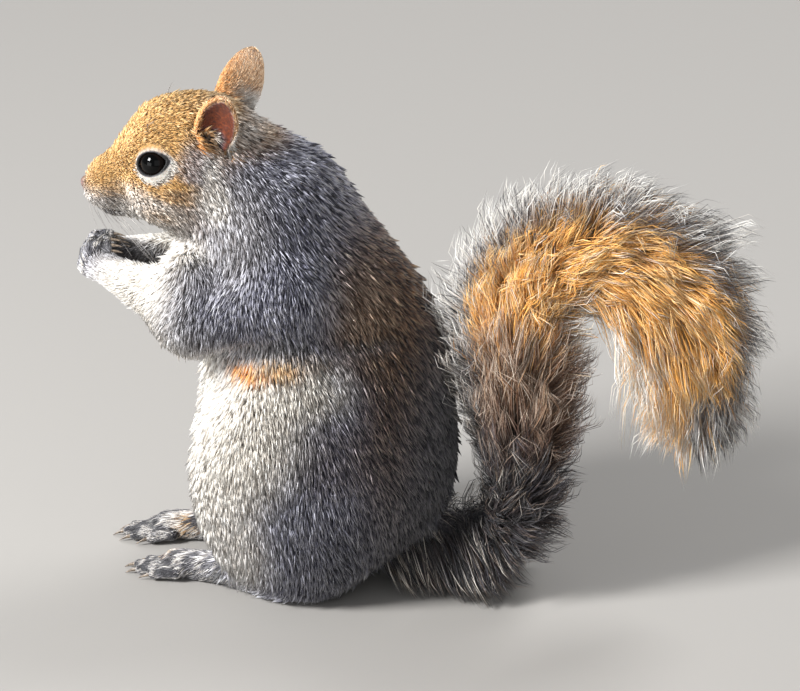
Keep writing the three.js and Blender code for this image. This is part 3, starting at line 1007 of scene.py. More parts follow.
@dataclass
class Markings:
    """Says how each point of the skin is marked."""

    body: Body
    # how far from a fold's line the painted shade in its crease reaches
    fold_shade_width: float = 2.2

    def paint(self, points: Array, part: Array | None = None) -> Array:
        """Marks points by where they lie.

        Args:
            points: Points, one in each row.
            part: The mass each belongs to, if it is already known.

        Returns:
            The amount of each marking but grey, a column for each.
        """
        marks = np.zeros((len(points), MARKINGS), np.float32)
        for patch in PATCHES:
            self.lay(marks, patch.marking, patch.amount(points))
        part = self.body.part_of(points) if part is None else part
        # painted shade: the creases of the flank's folds are darkened
        self.lay(marks, Marking.DARK, self.body.folded(points, self.fold_shade_width))
        self.mark_ears(marks, points, self.body.on(part, "ear"))
        self.mark_eyes(marks, points)
        self.mark_tail(marks, points, self.body.on(part, "tail"))
        return marks

    @staticmethod
    def lay(marks: Array, marking: Marking, amount: Array) -> None:
        """Lays one marking over those already there.

        Args:
            marks: The amount of each marking at each point, changed in place.
            marking: The marking laid.
            amount: How much of it at each point.
        """
        marks *= (1.0 - amount)[:, None]
        if marking is not Marking.GREY:
            marks[:, marking.value] += amount

    def mark_ears(self, marks: Array, points: Array, ears: Array) -> None:
        """Bares the inside of the ears, darkens their canal as painted shade and gives them an ochre back
        with a pale tuft.

        Args:
            marks: The amount of each marking at each point, changed in place.
            points: Points, one in each row.
            ears: Which points are on an ear.
        """
        if not ears.any():
            return
        local = self.body.ear.to_local(to_left(points[ears].astype(np.float32)))
        rows = marks[ears]
        self.lay(rows, Marking.OCHRE, np.full(len(rows), 0.9))
        behind = rise(1.0, -1.0, local[:, 0])
        self.lay(rows, Marking.PALE, behind * 0.12)
        self.lay(rows, Marking.ORANGE, 0.3 + rise(0.0, -7.0, local[:, 1]) * 0.4)
        tuft = rise(2.0, -7.0, local[:, 2]) * rise(-6.0, 3.0, local[:, 1])
        self.lay(rows, Marking.PALE, tuft * behind * 0.95)
        outer, hollow = self.body.ear.shells(local, 1.0)
        inner = rise(0.25, -0.15, hollow + outer) * rise(0.6, 0.2, hollow)
        self.lay(rows, Marking.BARE, inner)
        # painted shade: the canal, deep in the hollow, is darkened
        canal = rise(-1.0, -6.5, local[:, 2]) * rise(5.5, 2.5, np.abs(local[:, 1]))
        self.lay(rows, Marking.DARK, inner * canal)
        marks[ears] = rows

    def mark_eyes(self, marks: Array, points: Array) -> None:
        """Darkens the rims of the lids.

        Args:
            marks: The amount of each marking at each point, changed in place.
            points: Points, one in each row.
        """
        placed = to_left(points.astype(np.float32))
        eye = self.body.eye
        _, above, out = eye.frame(placed)
        close = (out > 0) & (np.linalg.norm(placed - np.array(eye.centre, np.float32), axis=1) < 11)
        dropped = placed + np.array([0.0, 0.0, eye.ring_drop], np.float32)
        ring = rise(0.9, -0.6, eye.almond(dropped, eye.ring)) * (1.0 - 0.6 * rise(0.0, 4.0, above))
        self.lay(marks, Marking.PALE, ring * close)
        rim = rise(0.25, -0.25, eye.almond(placed, eye.rim)) * close
        self.lay(marks, Marking.DARK, rim)

    def mark_tail(self, marks: Array, points: Array, tail: Array) -> None:
        """Gives the bare tail the ochre of the roots of its hair.

        Args:
            marks: The amount of each marking at each point, changed in place.
            points: Points, one in each row.
            tail: Which points are on the tail.
        """
        amount = np.where(tail & (points[:, 1] > 30), 0.9, 0.0)
        self.lay(marks, Marking.BROWN, amount)
        self.lay(marks, Marking.DARK, 0.8 * amount * rise(62.0, 48.0, points[:, 1]))
        self.lay(marks, Marking.ORANGE, amount * rise(95.0, 112.0, points[:, 2] + 0.4 * points[:, 1] - 25.0))


def add_marks(mesh: bpy.types.Mesh, marks: Array, tone: Array, along: Array) -> None:
    """Stores markings on a mesh, where its finish reads them.

    Args:
        mesh: The mesh.
        marks: The amount of each marking at each vertex.
        tone: How light each vertex is within its colour, from 0 to 1.
        along: How far each vertex lies from root to tip.
    """
    opaque = np.ones((len(marks), 1), np.float32)
    for name, columns in (("marks_warm", marks[:, 0:3]), ("marks_plain", marks[:, 3:6])):
        layer = mesh.attributes.new(name, "FLOAT_COLOR", "POINT")
        layer.data.foreach_set("color", np.hstack([columns, opaque]).astype(np.float32).ravel())
    add_values(mesh, "tone", tone)
    add_values(mesh, "along", along)


# ---------------------------------------------------------------- skin

@dataclass
class Skin:
    """The squirrel's skin, in one piece from nose to tail."""

    body: Body
    markings: Markings
    grid: Grid = Grid((-45.0, -96.0, -1.5), (45.0, 134.0, 190.0))
    seed: int = 3

    def build(self, material: Material) -> bpy.types.Object:
        """Makes the skin and hides the solids it stands for.

        Args:
            material: The finish of the coat's base.

        Returns:
            The skin's object.
        """
        axes, values = self.grid.values(self.body.skin)
        self.vertices, self.faces = surface_net(axes, values)
        self.vertices, self.faces = self.without_crumbs(self.vertices, self.faces)
        mesh = make_mesh("skin", self.vertices, self.faces)
        self.part = self.body.part_of(self.vertices)
        marks = self.markings.paint(self.vertices, self.part)
        tone = np.random.default_rng(self.seed).uniform(0.25, 0.6, len(self.vertices))
        add_marks(mesh, marks, tone, np.full(len(self.vertices), 0.35))
        piece = add_piece(mesh, material, "body_fur")
        sides = ("left", "right")
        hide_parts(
            "head", "neck", "trunk", "nose", "tail_base", "tail_climb", "tail_curl", "tail_tip",
            *(f"{name}_{side}" for name in ("ear", "arm", "hand", "thigh", "hind_foot") for side in sides),
        )
        return piece

    @staticmethod
    def without_crumbs(vertices: Array, faces: Array) -> tuple[Array, Array]:
        """Keeps the biggest connected surface and drops what lies loose.

        Args:
            vertices: Points, one in each row.
            faces: The vertices of each face.

        Returns:
            What is kept of both.
        """
        owner = np.arange(len(vertices))
        while True:
            lowest = owner[faces].min(axis=1)
            before = owner.copy()
            for corner in range(faces.shape[1]):
                np.minimum.at(owner, faces[:, corner], lowest)
            owner = owner[owner]
            if (owner == before).all():
                break
        names, counts = np.unique(owner, return_counts=True)
        keep = owner == names[counts.argmax()]
        order = np.cumsum(keep) - 1
        return vertices[keep], order[faces[keep[faces[:, 0]]]]


# ---------------------------------------------------------------- the lie of the coat

@dataclass(frozen=True)
class Stroke:
    """One stroke of the comb: the way the hair lies round a place, given on the left."""

    place: Triple
    way: Triple
    reach: float = 14.0


STROKES = (
    Stroke((0, -92, 142), (0.1, 0.7, 0.8), 5),
    Stroke((0, -80, 150), (0.1, 1.0, 0.65), 9),
    Stroke((0, -66, 166), (0.1, 1.0, 0.45), 11),
    Stroke((0, -50, 175), (0.05, 1.0, -0.15), 10),
    Stroke((7, -88, 137), (0.6, 0.8, -0.1), 5),
    Stroke((13, -74, 150), (0.35, 0.9, 0.35), 6),
    Stroke((14, -74, 140), (0.4, 0.9, -0.25), 8),
    Stroke((20, -60, 146), (0.1, 0.95, -0.3), 8),
    Stroke((20, -50, 138), (0.1, 0.7, -0.7), 9),
    Stroke((18, -52, 160), (0.15, 1.0, -0.1), 7),
    Stroke((3, -80, 130), (0.2, 0.9, -0.4), 8),
    Stroke((0, -62, 126), (0.1, 0.5, -0.85), 10),
    Stroke((0, -30, 168), (0.0, 0.8, -0.6), 12),
    Stroke((20, -36, 150), (0.0, 0.55, -0.85), 12),
    Stroke((28, -22, 128), (0.05, 0.35, -0.95), 14),
    Stroke((0, 2, 146), (0.0, 0.65, -0.75), 16),
    Stroke((0, 32, 105), (0.0, 0.4, -0.92), 22),
    Stroke((30, 12, 95), (0.0, 0.55, -0.85), 18),
    Stroke((34, 0, 70), (0.0, 0.3, -0.95), 18),
    Stroke((0, -60, 112), (0.0, -0.25, -0.97), 14),
    Stroke((0, -55, 60), (0.25, 0.0, -0.97), 20),
    Stroke((0, -50, 20), (0.2, 0.4, -0.9), 14),
    Stroke((0, 38, 45), (0.0, 0.35, -0.93), 18),
    Stroke((30, 28, 40), (0.0, 0.4, -0.92), 18),
    Stroke((43, -12, 62), (0.1, 0.15, -0.98), 14),
    Stroke((42, -14, 30), (0.1, 0.1, -0.99), 14),
    Stroke((34, -42, 45), (0.15, 0.35, -0.93), 12),
    Stroke((32, -38, 15), (0.2, 0.45, -0.9), 12),
    Stroke((34, 15, 20), (0.1, 0.4, -0.9), 14),
    Stroke((36, -18, 112), (0.1, 0.05, -1.0), 12),
    Stroke((33, -42, 100), (0.1, -0.1, -1.0), 10),
    Stroke((22, -58, 100), (-0.1, -0.6, -0.8), 8),
    Stroke((14, -74, 105), (-0.3, -0.9, -0.1), 8),
    Stroke((9, -86, 112), (-0.1, -0.7, 0.7), 6),
    Stroke((6, -86, 119), (-0.2, 0.8, 0.5), 4),
    Stroke((20, -25, 10), (-0.1, -1.0, -0.2), 12),
    Stroke((16, -60, 6), (-0.15, -1.0, -0.1), 12),
    Stroke((15, -80, 4), (-0.1, -1.0, -0.1), 12),
    Stroke((17, -40, 172), (0.2, 0.3, 1.0), 7),
    Stroke((20, -42, 182), (0.3, 0.1, 1.0), 7),
)


@dataclass(frozen=True)
class Comb:
    """Gives the lie of the coat anywhere, from the strokes nearby."""

    strokes: tuple[Stroke, ...] = STROKES
    faded: float = 60.0  # past this many squared reaches a stroke is felt no less
    faint: float = 1e-9  # the pull of every stroke everywhere, for places that no stroke reaches

    def lie(self, points: Array, normals: Array) -> Array:
        """The way the hair lies at each point, along the skin.

        Args:
            points: Points, one in each row.
            normals: The way out of the skin at each.

        Returns:
            Unit vectors along the skin.
        """
        sign = np.where(points[:, 0] < 0, -1.0, 1.0)
        mirror = np.stack([sign, np.ones_like(sign), np.ones_like(sign)], axis=1)
        placed = points * mirror
        total = np.zeros_like(placed)
        for stroke in self.strokes:
            away = ((placed - np.array(stroke.place)) ** 2).sum(axis=1) / stroke.reach**2
            way = unit(np.array(stroke.way))
            total += np.exp(-0.5 * np.minimum(away, self.faded))[:, None] * way
            total += self.faint * way / (1.0 + away)[:, None]
        way = unit(total) * mirror
        way -= normals * (way * normals).sum(axis=1, keepdims=True)
        return unit(way)


# ---------------------------------------------------------------- tufts

@dataclass
class Tufts:
    """Closed slender tufts: flat leaves in the coat, or runs of three-sided rings."""

    spine: Array  # tufts x points x 3, from root to tip
    side: Array  # tufts x 3, across each tuft
    width: Array  # tufts
    marks: Array  # tufts x points x markings
    tone: Array  # tufts x points
    patch: Array  # tufts x 2, each root's place on the unwrap
    swell: tuple[float, ...] = ()  # the width of each ring between the ends; none for a leaf

    PATCH_SIZE = 0.003
    LEAF = ((0, 1, 2), (1, 3, 2), (0, 3, 1), (0, 2, 3))

    def mesh(self, name: str) -> bpy.types.Mesh:
        """Makes one mesh of all the tufts, marked and unwrapped.

        Args:
            name: The mesh's name.

        Returns:
            The mesh.
        """
        vertices, place, station = self.ringed() if self.swell else self.leaves()
        count, per_tuft = vertices.shape[:2]
        faces = ring_faces(len(self.swell), 3)[:, ::-1] if self.swell else np.array(self.LEAF)
        faces = faces + (np.arange(count) * per_tuft)[:, None, None]
        mesh = make_mesh(name, vertices.reshape(-1, 3), faces.reshape(-1, 3))
        along = np.tile(np.array(station) / (self.spine.shape[1] - 1), count)
        tone = self.tone[:, station].reshape(-1)
        add_marks(mesh, self.marks[:, station].reshape(-1, MARKINGS), tone, along)
        spread = self.patch[:, None, :] + (np.array(place) - [0.5, 0.0]) * self.PATCH_SIZE
        spread = np.clip(spread, 0.0, 1.0).reshape(-1, 2)
        layer = mesh.uv_layers.new(name="OFBake")
        layer.uv.foreach_set("vector", spread[faces.reshape(-1)].astype(np.float32).ravel())
        return mesh

    def leaves(self) -> tuple[Array, list, list]:
        """The corners of flat tufts: root, two edges and tip.

        Returns:
            The corners, where each lands in the tuft's patch, and the station each is at.
        """
        root, middle, tip = (self.spine[:, station] for station in range(3))
        half = (self.width / 2)[:, None]
        corners = [root, middle - self.side * half, middle + self.side * half, tip]
        return np.stack(corners, axis=1), [(0, 0), (0.4, -0.5), (0.4, 0.5), (1, 0)], [0, 1, 1, 2]

    def ringed(self) -> tuple[Array, list, list]:
        """The corners of round tufts: root, rings of three and tip.

        Returns:
            The corners, where each lands in the tuft's patch, and the station each is at.
        """
        last = len(self.swell) + 1
        way = unit(self.spine[:, 2:] - self.spine[:, :-2])
        corners, place, station = [self.spine[:, 0]], [(0, 0)], [0]
        for ring, swell in enumerate(self.swell):
            across = unit(self.side - way[:, ring] * (self.side * way[:, ring]).sum(1, keepdims=True))
            upward = np.cross(way[:, ring], across)
            half = (self.width * swell / 2)[:, None]
            middle = self.spine[:, ring + 1]
            corners += [
                middle - across * half - upward * half * 0.5,
                middle + across * half - upward * half * 0.5,
                middle + upward * half * 0.8,
            ]
            place += [((ring + 1) / last, shift * swell) for shift in (-0.5, 0.5, 0.0)]
            station += [ring + 1] * 3
        corners.append(self.spine[:, -1])
        return np.stack(corners, axis=1), [*place, (1, 0)], [*station, last]


UNWRAP_EDGES = (0.004, 0.996)  # tufts keep this far inside the unwrap


@dataclass(frozen=True)
class Unwrap:
    """Rolls a part of the skin out flat round an axis of its own."""

    start: Triple
    end: Triple

    def place(self, points: Array) -> Array:
        """Where each point lands, across and along, from 0 to 1.

        Args:
            points: Points, one in each row.

        Returns:
            Two shares for each point.
        """
        start, end = np.array(self.start), np.array(self.end)
        axis = unit(end - start)
        local = points - start
        along = local @ axis / np.linalg.norm(end - start)
        first = unit(np.cross(axis, (0.31, 0.22, 0.93)))
        second = np.cross(axis, first)
        round_it = np.arctan2(local @ second, local @ first) / (2 * np.pi) + 0.5
        return np.clip(np.stack([round_it, along], axis=1), *UNWRAP_EDGES)


@dataclass(frozen=True)
class CoatPiece:
    """One piece of the short coat: the masses it covers, on one side or both."""

    name: str
    masses: tuple[str, ...]
    slot: str
    unwrap: Unwrap
    side: int = 0


COAT_PIECES = (
    CoatPiece("coat_head_left", ("head",), "head_fur", Unwrap((0, -32, 165), (0, -96, 132)), 1),
    CoatPiece("coat_head_right", ("head",), "head_fur", Unwrap((0, -32, 165), (0, -96, 132)), -1),
    CoatPiece("coat_ears", ("ear",), "head_fur", Unwrap((0, -45, 150), (0, -35, 195))),
    CoatPiece("coat_neck", ("neck",), "body_fur", Unwrap((0, -10, 118), (0, -58, 175))),
    CoatPiece("coat_trunk_left", ("trunk", "tail"), "body_fur", Unwrap((0, -10, -5), (0, -10, 155)), 1),
    CoatPiece("coat_trunk_right", ("trunk", "tail"), "body_fur", Unwrap((0, -10, -5), (0, -10, 155)), -1),
    CoatPiece("coat_thigh_left", ("thigh",), "body_fur", Unwrap((20, -13, -5), (20, -13, 95)), 1),
    CoatPiece("coat_thigh_right", ("thigh",), "body_fur", Unwrap((-20, -13, -5), (-20, -13, 95)), -1),
    CoatPiece("coat_arm_left", ("arm", "hand"), "body_fur", Unwrap((23, 0, 120), (12, -100, 100)), 1),
    CoatPiece("coat_arm_right", ("arm", "hand"), "body_fur", Unwrap((-23, 0, 120), (-12, -100, 100)), -1),
    CoatPiece("coat_foot_left", ("foot_left",), "foot_fur", Unwrap((22, -5, 5), (15, -90, 3)), 1),
    CoatPiece("coat_foot_right", ("foot_right",), "foot_fur", Unwrap((-22, -5, 5), (-15, -100, 3)), -1),
)


@dataclass
class ShortCoat:
    """The short coat of the head, body and limbs."""

    skin: Skin
    comb: Comb = Comb()
    count: int = 345_000
    least_length: float = 0.9
    length_for_depth: float = 1.55
    least_width: float = 0.135
    width_for_length: float = 0.027
    depths: tuple[float, float] = (0.25, 6.0)  # the least and greatest depth of coat
    feel: float = 0.6  # how far to each side the way out of the skin is felt for
    sink: float = 0.3
    sway: float = 0.3
    turn: float = 0.14  # how far single tufts turn off the lie
    lengths: tuple[float, float] = (0.75, 1.2)  # the range of lengths, as shares of the usual
    widths: tuple[float, float] = (0.75, 1.25)
    heights: tuple[float, float] = (0.4, 1.08)  # how high tips lie, as shares of the coat's depth
    stretch: float = 2.2  # how much longer for their depth the tufts of ears, hands and feet are
    thicken: float = 1.2  # how much wider they are
    streaks: tuple[float, float] = (0.48, 0.7)  # chances under the first turn dark, over the second pale
    streak_waves: Triple = (2.1, 0.35, 2.4)
    strays: float = 0.035  # the share of tufts that stand out from the rest
    stray_height: float = 1.35
    stray_length: float = 1.2
    bare_skin: float = 0.35  # skin as bare as this grows no tufts
    dark_skin: float = 0.85  # nor does skin that is bare and dark by this much together
    band_kinds: tuple[float, float] = (0.52, 0.74)  # chances under the first pale-tipped, then dark
    tail_from: float = 42.0
    lowest: float = 0.3
    seed: int = 11

    def build(self, material: Material) -> None:
        """Grows the coat and parts it into pieces.

        Args:
            material: The finish of the coat.
        """
        rng = np.random.default_rng(self.seed)
        roots, part, normals = self.sow(rng)
        body = self.skin.body
        marks = self.skin.markings.paint(roots, part)
        bare = marks[:, Marking.BARE.value]
        bare = (bare > self.bare_skin) | (bare + marks[:, Marking.DARK.value] > self.dark_skin)
        tail = body.on(part, "tail") & (roots[:, 1] > self.tail_from)
        keep = ~bare & ~tail & (roots[:, 2] > body.floor + 0.15)
        roots, part, normals, marks = roots[keep], part[keep], normals[keep], marks[keep]
        paws = body.on(part, "hand", "foot_left", "foot_right")
        sparse = paws | body.on(part, "ear")
        self.streak(marks, roots, paws, rng)
        depth = np.clip(-body.distance(roots, 0.0), *self.depths)
        length, width = self.sizes(depth)
        length *= rng.uniform(*self.lengths, len(roots))
        width *= rng.uniform(*self.widths, len(roots))
        lie = self.comb.lie(roots, normals)
        side = unit(np.cross(normals, lie))
        turn = rng.normal(0.0, self.turn, len(roots)) + self.drift(roots, rng)
        lie = unit(lie + side * turn[:, None])
        side = unit(np.cross(normals, lie))
        height = depth * rng.uniform(*self.heights, len(roots))
        length *= np.where(sparse, self.stretch, 1.0)
        width *= np.where(sparse, self.thicken, 1.0)
        stray = rng.uniform(0, 1, len(roots)) < self.strays
        height *= np.where(stray, self.stray_height, 1.0)
        length *= np.where(stray, self.stray_length, 1.0)
        spine = self.grow(roots, normals, lie, length, height)
        tone = self.bands(rng, len(roots))
        for piece in COAT_PIECES:
            members = body.on(part, *piece.masses)
            if piece.side:
                members &= roots[:, 0] * piece.side >= 0
            tufts = Tufts(
                spine[members], side[members], width[members],
                np.repeat(marks[members][:, None], 3, axis=1), tone[members],
                piece.unwrap.place(roots[members]),
            )
            add_piece(tufts.mesh(piece.name), material, piece.slot)

    def streak(self, marks: Array, roots: Array, paws: Array, rng: Rng) -> None:
        """Turns tufts of the hands and feet dark and pale in streaks that run along them.

        Args:
            marks: The amount of each marking at each point, changed in place.
            roots: Where the tufts stand.
            paws: Which tufts are on a hand or foot.
            rng: Source of chance.
        """
        ripple = 0.5 + 0.5 * np.sin(roots @ np.array(self.streak_waves))
        chance = blend(rng.uniform(0, 1, len(marks)), ripple, 0.5)
        dark, pale = self.streaks
        for marking, chosen in ((Marking.DARK, chance < dark), (Marking.PALE, chance > pale)):
            rows = paws & chosen
            marks[rows] *= 0.25
            marks[rows, marking.value] += 0.75

    def drift(self, roots: Array, rng: Rng) -> Array:
        """How far the coat's lie wanders to one side, in slow waves over the body.

        Args:
            roots: Where the tufts stand.
            rng: Source of chance.

        Returns:
            The turn of each tuft, in radians.
        """
        waves = rng.normal(0.0, 0.16, (5, 3))
        phases = rng.uniform(0.0, 2 * np.pi, 5)
        return self.sway * np.sin(roots @ waves.T + phases).mean(axis=1)

    def bands(self, rng: Rng, count: int) -> Array:
        """How light each tuft is at its root, middle and tip: pale, dark or evenly toned.

        Args:
            rng: Source of chance.
            count: How many tufts there are.

        Returns:
            Three tones for each, from 0 to 1.
        """
        kind = rng.uniform(0, 1, (count, 1))
        even = rng.beta(2.0, 2.0, (count, 1))
        pale_tip = np.hstack([even * 0.3, even * 0.7, 0.8 + even * 0.2])
        dark_tip = np.hstack([even * 0.3, 0.2 + even * 0.5, even * 0.12])
        plain = np.hstack([even * 0.4, even * 0.9, even])
        pale, dark = self.band_kinds
        return np.where(kind < pale, pale_tip, np.where(kind < dark, dark_tip, plain))

    def sizes(self, depth: Array) -> tuple[Array, Array]:
        """The length and width of tufts where the coat has this depth."""
        length = self.least_length + self.length_for_depth * depth
        return length, self.least_width + self.width_for_length * length

    def sow(self, rng: Rng) -> tuple[Array, Array, Array]:
        """Scatters roots over the skin, closer where the tufts are small.

        Args:
            rng: Source of chance.

        Returns:
            The roots, the mass each is on and the way out of the skin at each.
        """
        vertices, faces = self.skin.vertices, self.skin.faces
        corners = vertices[faces]
        middle = corners.mean(axis=1)
        cross = np.cross(corners[:, 2] - corners[:, 0], corners[:, 3] - corners[:, 1])
        area = 0.5 * np.linalg.norm(cross, axis=1)
        depth = np.clip(-self.skin.body.distance(middle, 0.0), *self.depths)
        length, width = self.sizes(depth)
        weight = area / (length * width)
        picks = rng.choice(len(faces), self.count, p=weight / weight.sum())
        u, v = rng.uniform(0, 1, (2, self.count, 1))
        quad = corners[picks]
        roots = blend(blend(quad[:, 0], quad[:, 1], u), blend(quad[:, 3], quad[:, 2], u), v)
        part = self.skin.part[faces[picks, 0]]
        return roots, part, slope(self.skin.body.distance, roots, self.feel)

    def grow(self, roots: Array, normals: Array, lie: Array, length: Array, height: Array) -> Array:
        """Lays each tuft along the body, its middle and tip at their height over the skin.

        Args:
            roots: Where the tufts stand.
            normals: The way out of the skin at each.
            lie: The way each lies.
            length: The length of each.
            height: How far over the skin each tip lies.

        Returns:
            The root, middle and tip of each tuft.
        """
        spine = np.empty((len(roots), 3, 3))
        spine[:, 0] = roots - normals * self.sink
        for station, (share, lift) in enumerate(((0.42, 0.62), (1.0, 1.0)), start=1):
            run = np.sqrt(np.maximum((length * share) ** 2 - (height * lift) ** 2, 0.05))
            point = roots + lie * run[:, None] + normals * (height * lift)[:, None]
            for _ in range(2):
                out = slope(self.skin.body.distance, point, self.feel)
                off = height * lift - self.skin.body.distance(point)
                point = point + out * np.clip(off, -2.5, 2.5)[:, None]
            point[:, 2] = np.maximum(point[:, 2], self.lowest)
            spine[:, station] = point
        return spine


@dataclass(frozen=True)
class Zone:
    """A stretch of the tail with soft ends, as shares of its length."""

    begins: float
    full_from: float
    full_to: float
    ends: float

    def inside(self, share: Array) -> Array:
        """How far inside the zone each share lies, from 0 to 1."""
        return rise(self.begins, self.full_from, share) * rise(self.ends, self.full_to, share)


@dataclass
class TailBrush:
    """The long banded hair of the tail, in clumps fanned out to both edges."""

    line: TailLine
    clumps: int = 3_300
    clump_size: int = 12
    seed: int = 23
    root_to: float = 0.99
    flat_share: float = 0.55  # how much of the hair grows from the flat sides
    clump_spread: float = 2.5
    gather: float = 0.72  # how far the tips of a clump draw together
    base_spread: float = 1.1  # how wide the brush lies where it rests on the floor
    end_reach: float = 7.0
    ragged: float = 0.12  # how much the length of the fringe wanders
    hang: float = 28.0  # how far hair from the inner edge hangs down past the top of the curl
    bend_trim: float = 0.34  # how much shorter hair is on the outside of the bend at the floor
    under: float = 0.22  # how much further hair from the inner edge reaches there
    first: float = -0.04  # where along the tail the brush begins
    lowest: float = 0.3
    widths: tuple[float, float] = (0.28, 0.46)
    edge_thinning: float = 0.38  # how much finer hair is at the two edges
    climb: Zone = Zone(0.17, 0.28, 0.42, 0.56)  # where the tail climbs behind the back
    floor_bend: Zone = Zone(0.08, 0.18, 0.24, 0.34)  # the bend at the floor
    past_top: Zone = Zone(0.58, 0.66, 0.86, 0.97)  # past the top of the curl
    pieces: tuple[tuple[str, float, float], ...] = (
        ("base", 0.0, 0.3), ("climb", 0.3, 0.52), ("curl", 0.52, 0.76), ("tip", 0.76, 1.01),
    )

    STATIONS = (0.0, 0.36, 0.72, 1.0)

    def build(self, material: Material) -> None:
        """Grows the brush and parts it along its length.

        Args:
            material: The finish of the coat.
        """
        rng = np.random.default_rng(self.seed)
        share = self.first + (self.root_to - self.first) * rng.uniform(0, 1, self.clumps) ** 0.8
        on_flat = rng.uniform(0, 1, self.clumps) < self.flat_share
        sign = np.where(rng.uniform(0, 1, self.clumps) < 0.5, 1.0, -1.0)
        edge = np.where(rng.uniform(0, 1, self.clumps) < 0.55, 0.0, np.pi)
        angle = np.where(
            on_flat, sign * (np.pi / 2 + rng.uniform(-1.1, 1.1, self.clumps)),
            edge + rng.normal(0, 0.4, self.clumps))
        lying = (share < 0.24) & (rng.uniform(0, 1, self.clumps) < 0.7)
        angle = np.where(lying, sign * (np.pi / 2 + rng.normal(0, 0.45, self.clumps)), angle)
        spine, depth, side_on, owner = self.grow(share, angle, rng)
        share, angle = share[owner], angle[owner]
        marks, tone = self.mark(share, depth, side_on, rng)
        width = rng.uniform(*self.widths, len(owner)) * (1.0 - self.edge_thinning * np.abs(np.cos(angle)))
        side = unit(np.cross(spine[:, 2] - spine[:, 1], rng.normal(0, 1, (len(owner), 3))))
        place = np.maximum(share, 0.0)
        for name, low, high in self.pieces:
            members = (place >= low) & (place < high)
            along = np.clip((place[members] - low) / (high - low), *UNWRAP_EDGES)
            round_it = np.clip(np.mod(angle[members] / (2 * np.pi), 1.0), *UNWRAP_EDGES)
            tufts = Tufts(
                spine[members], side[members], width[members], marks[members], tone[members],
                np.stack([round_it, along], axis=1), (1.0, 0.8),
            )
            add_piece(tufts.mesh(f"brush_{name}"), material, "tail_fur")

    def grow(self, share: Array, angle: Array, rng: Rng) -> tuple[Array, ...]:
        """Grows each clump out of the bare tail, its hairs drawing together at their tips.

        Args:
            share: Where along the tail each clump grows.
            angle: Where round the tail, 0 being the outer edge.
            rng: Source of chance.

        Returns:
            The hairs' stations, how far along its reach each is, how far out side on, from -1 at
            the inner edge to 1 at the outer, and each hair's clump.
        """
        owner = np.repeat(np.arange(self.clumps), self.clump_size)
        count = len(owner)
        wisp = 1.0 + 0.26 * np.maximum(np.cos(angle), 0.0) * rng.uniform(0.0, 1.0, self.clumps) ** 2
        wander = 0.6 * np.sin(share * 68.0 + 0.7) + 0.4 * np.sin(share * 171.0 + 2.0)
        wisp += self.ragged * wander * np.abs(np.cos(angle))
        clump_reach = (rng.uniform(0.64, 1.05, self.clumps) * wisp)[owner]
        climbing = self.climb.inside(share)
        lean = rng.uniform(0.12, 0.6, self.clumps) + (0.3 + 0.35 * climbing) * np.abs(np.sin(angle))
        lean = lean[owner]
        bend = (rng.normal(0.0, 0.22, self.clumps) * (1.0 + 0.4 * climbing))[owner]
        shift = rng.normal(0.0, self.clump_spread / self.line.length, count)
        turn = rng.normal(0.0, 0.16, count)
        wave = rng.normal(0.0, 0.9, (count, 3))
        root_share, root_angle = share[owner], angle[owner]
        radius = self.line.radius(root_share)
        ending = rise(0.74, 1.0, root_share)
        radius = blend(radius, np.full(count, 25.0), rise(0.8, 1.0, root_share))
        flatness = blend(self.line.flatness, self.base_spread, rise(0.34, 0.12, root_share))
        ratio = 1.0 / np.hypot(np.cos(root_angle), np.sin(root_angle) / flatness)
        reach = radius * ratio * clump_reach * rng.uniform(0.82, 1.03, count)
        reach *= 1.0 + self.under * rise(0.6, 0.7, root_share) * np.maximum(-np.cos(root_angle), 0.0)
        bent = self.floor_bend.inside(root_share)
        reach *= 1.0 - self.bend_trim * bent * np.maximum(np.cos(root_angle), 0.0)
        run = lean * radius + ending * self.end_reach * rng.uniform(0.3, 1.0, count)
        reach = reach * (1.0 - 0.25 * ending)
        flesh = self.line.flesh_radius(root_share)
        spine = np.empty((count, len(self.STATIONS), 3))
        depth, side_on = np.empty((2, count, len(self.STATIONS)))
        sag = rise(0.2, 0.08, root_share) * np.abs(np.sin(root_angle))
        sideways = np.array([1.0, 0.0, 0.0])
        gather = self.gather + 0.12 * np.abs(np.cos(root_angle))
        loose_hang = rng.uniform(0.0, 1.0, self.clumps)[owner] ** 1.5 * rise(-0.2, 0.7, -np.cos(root_angle))
        hang = self.hang * self.past_top.inside(root_share) * loose_hang
        for index, t in enumerate(self.STATIONS):
            loose = 1.0 - gather * t
            point, way, out = self.line.at(root_share + shift * loose)
            round_it = root_angle + turn * loose + bend * t * t
            radial = out * np.cos(round_it)[:, None] + sideways * np.sin(round_it)[:, None]
            away = blend(flesh * 0.6, reach, math.sin(t * math.pi / 2) ** 0.92)
            spine[:, index] = point + radial * away[:, None] + way * (run * t**1.25)[:, None]
            if 0.0 < t < 1.0:
                spine[:, index] += wave
            spine[:, index, 2] *= 1.0 - sag * t**1.4
            spine[:, index, 2] -= hang * t**1.6
            depth[:, index] = away / np.maximum(radius * ratio, TINY)
            side_on[:, index] = away * np.cos(round_it) / radius
        spine[..., 2] = np.maximum(spine[..., 2], self.lowest)
        return spine, depth, side_on, owner

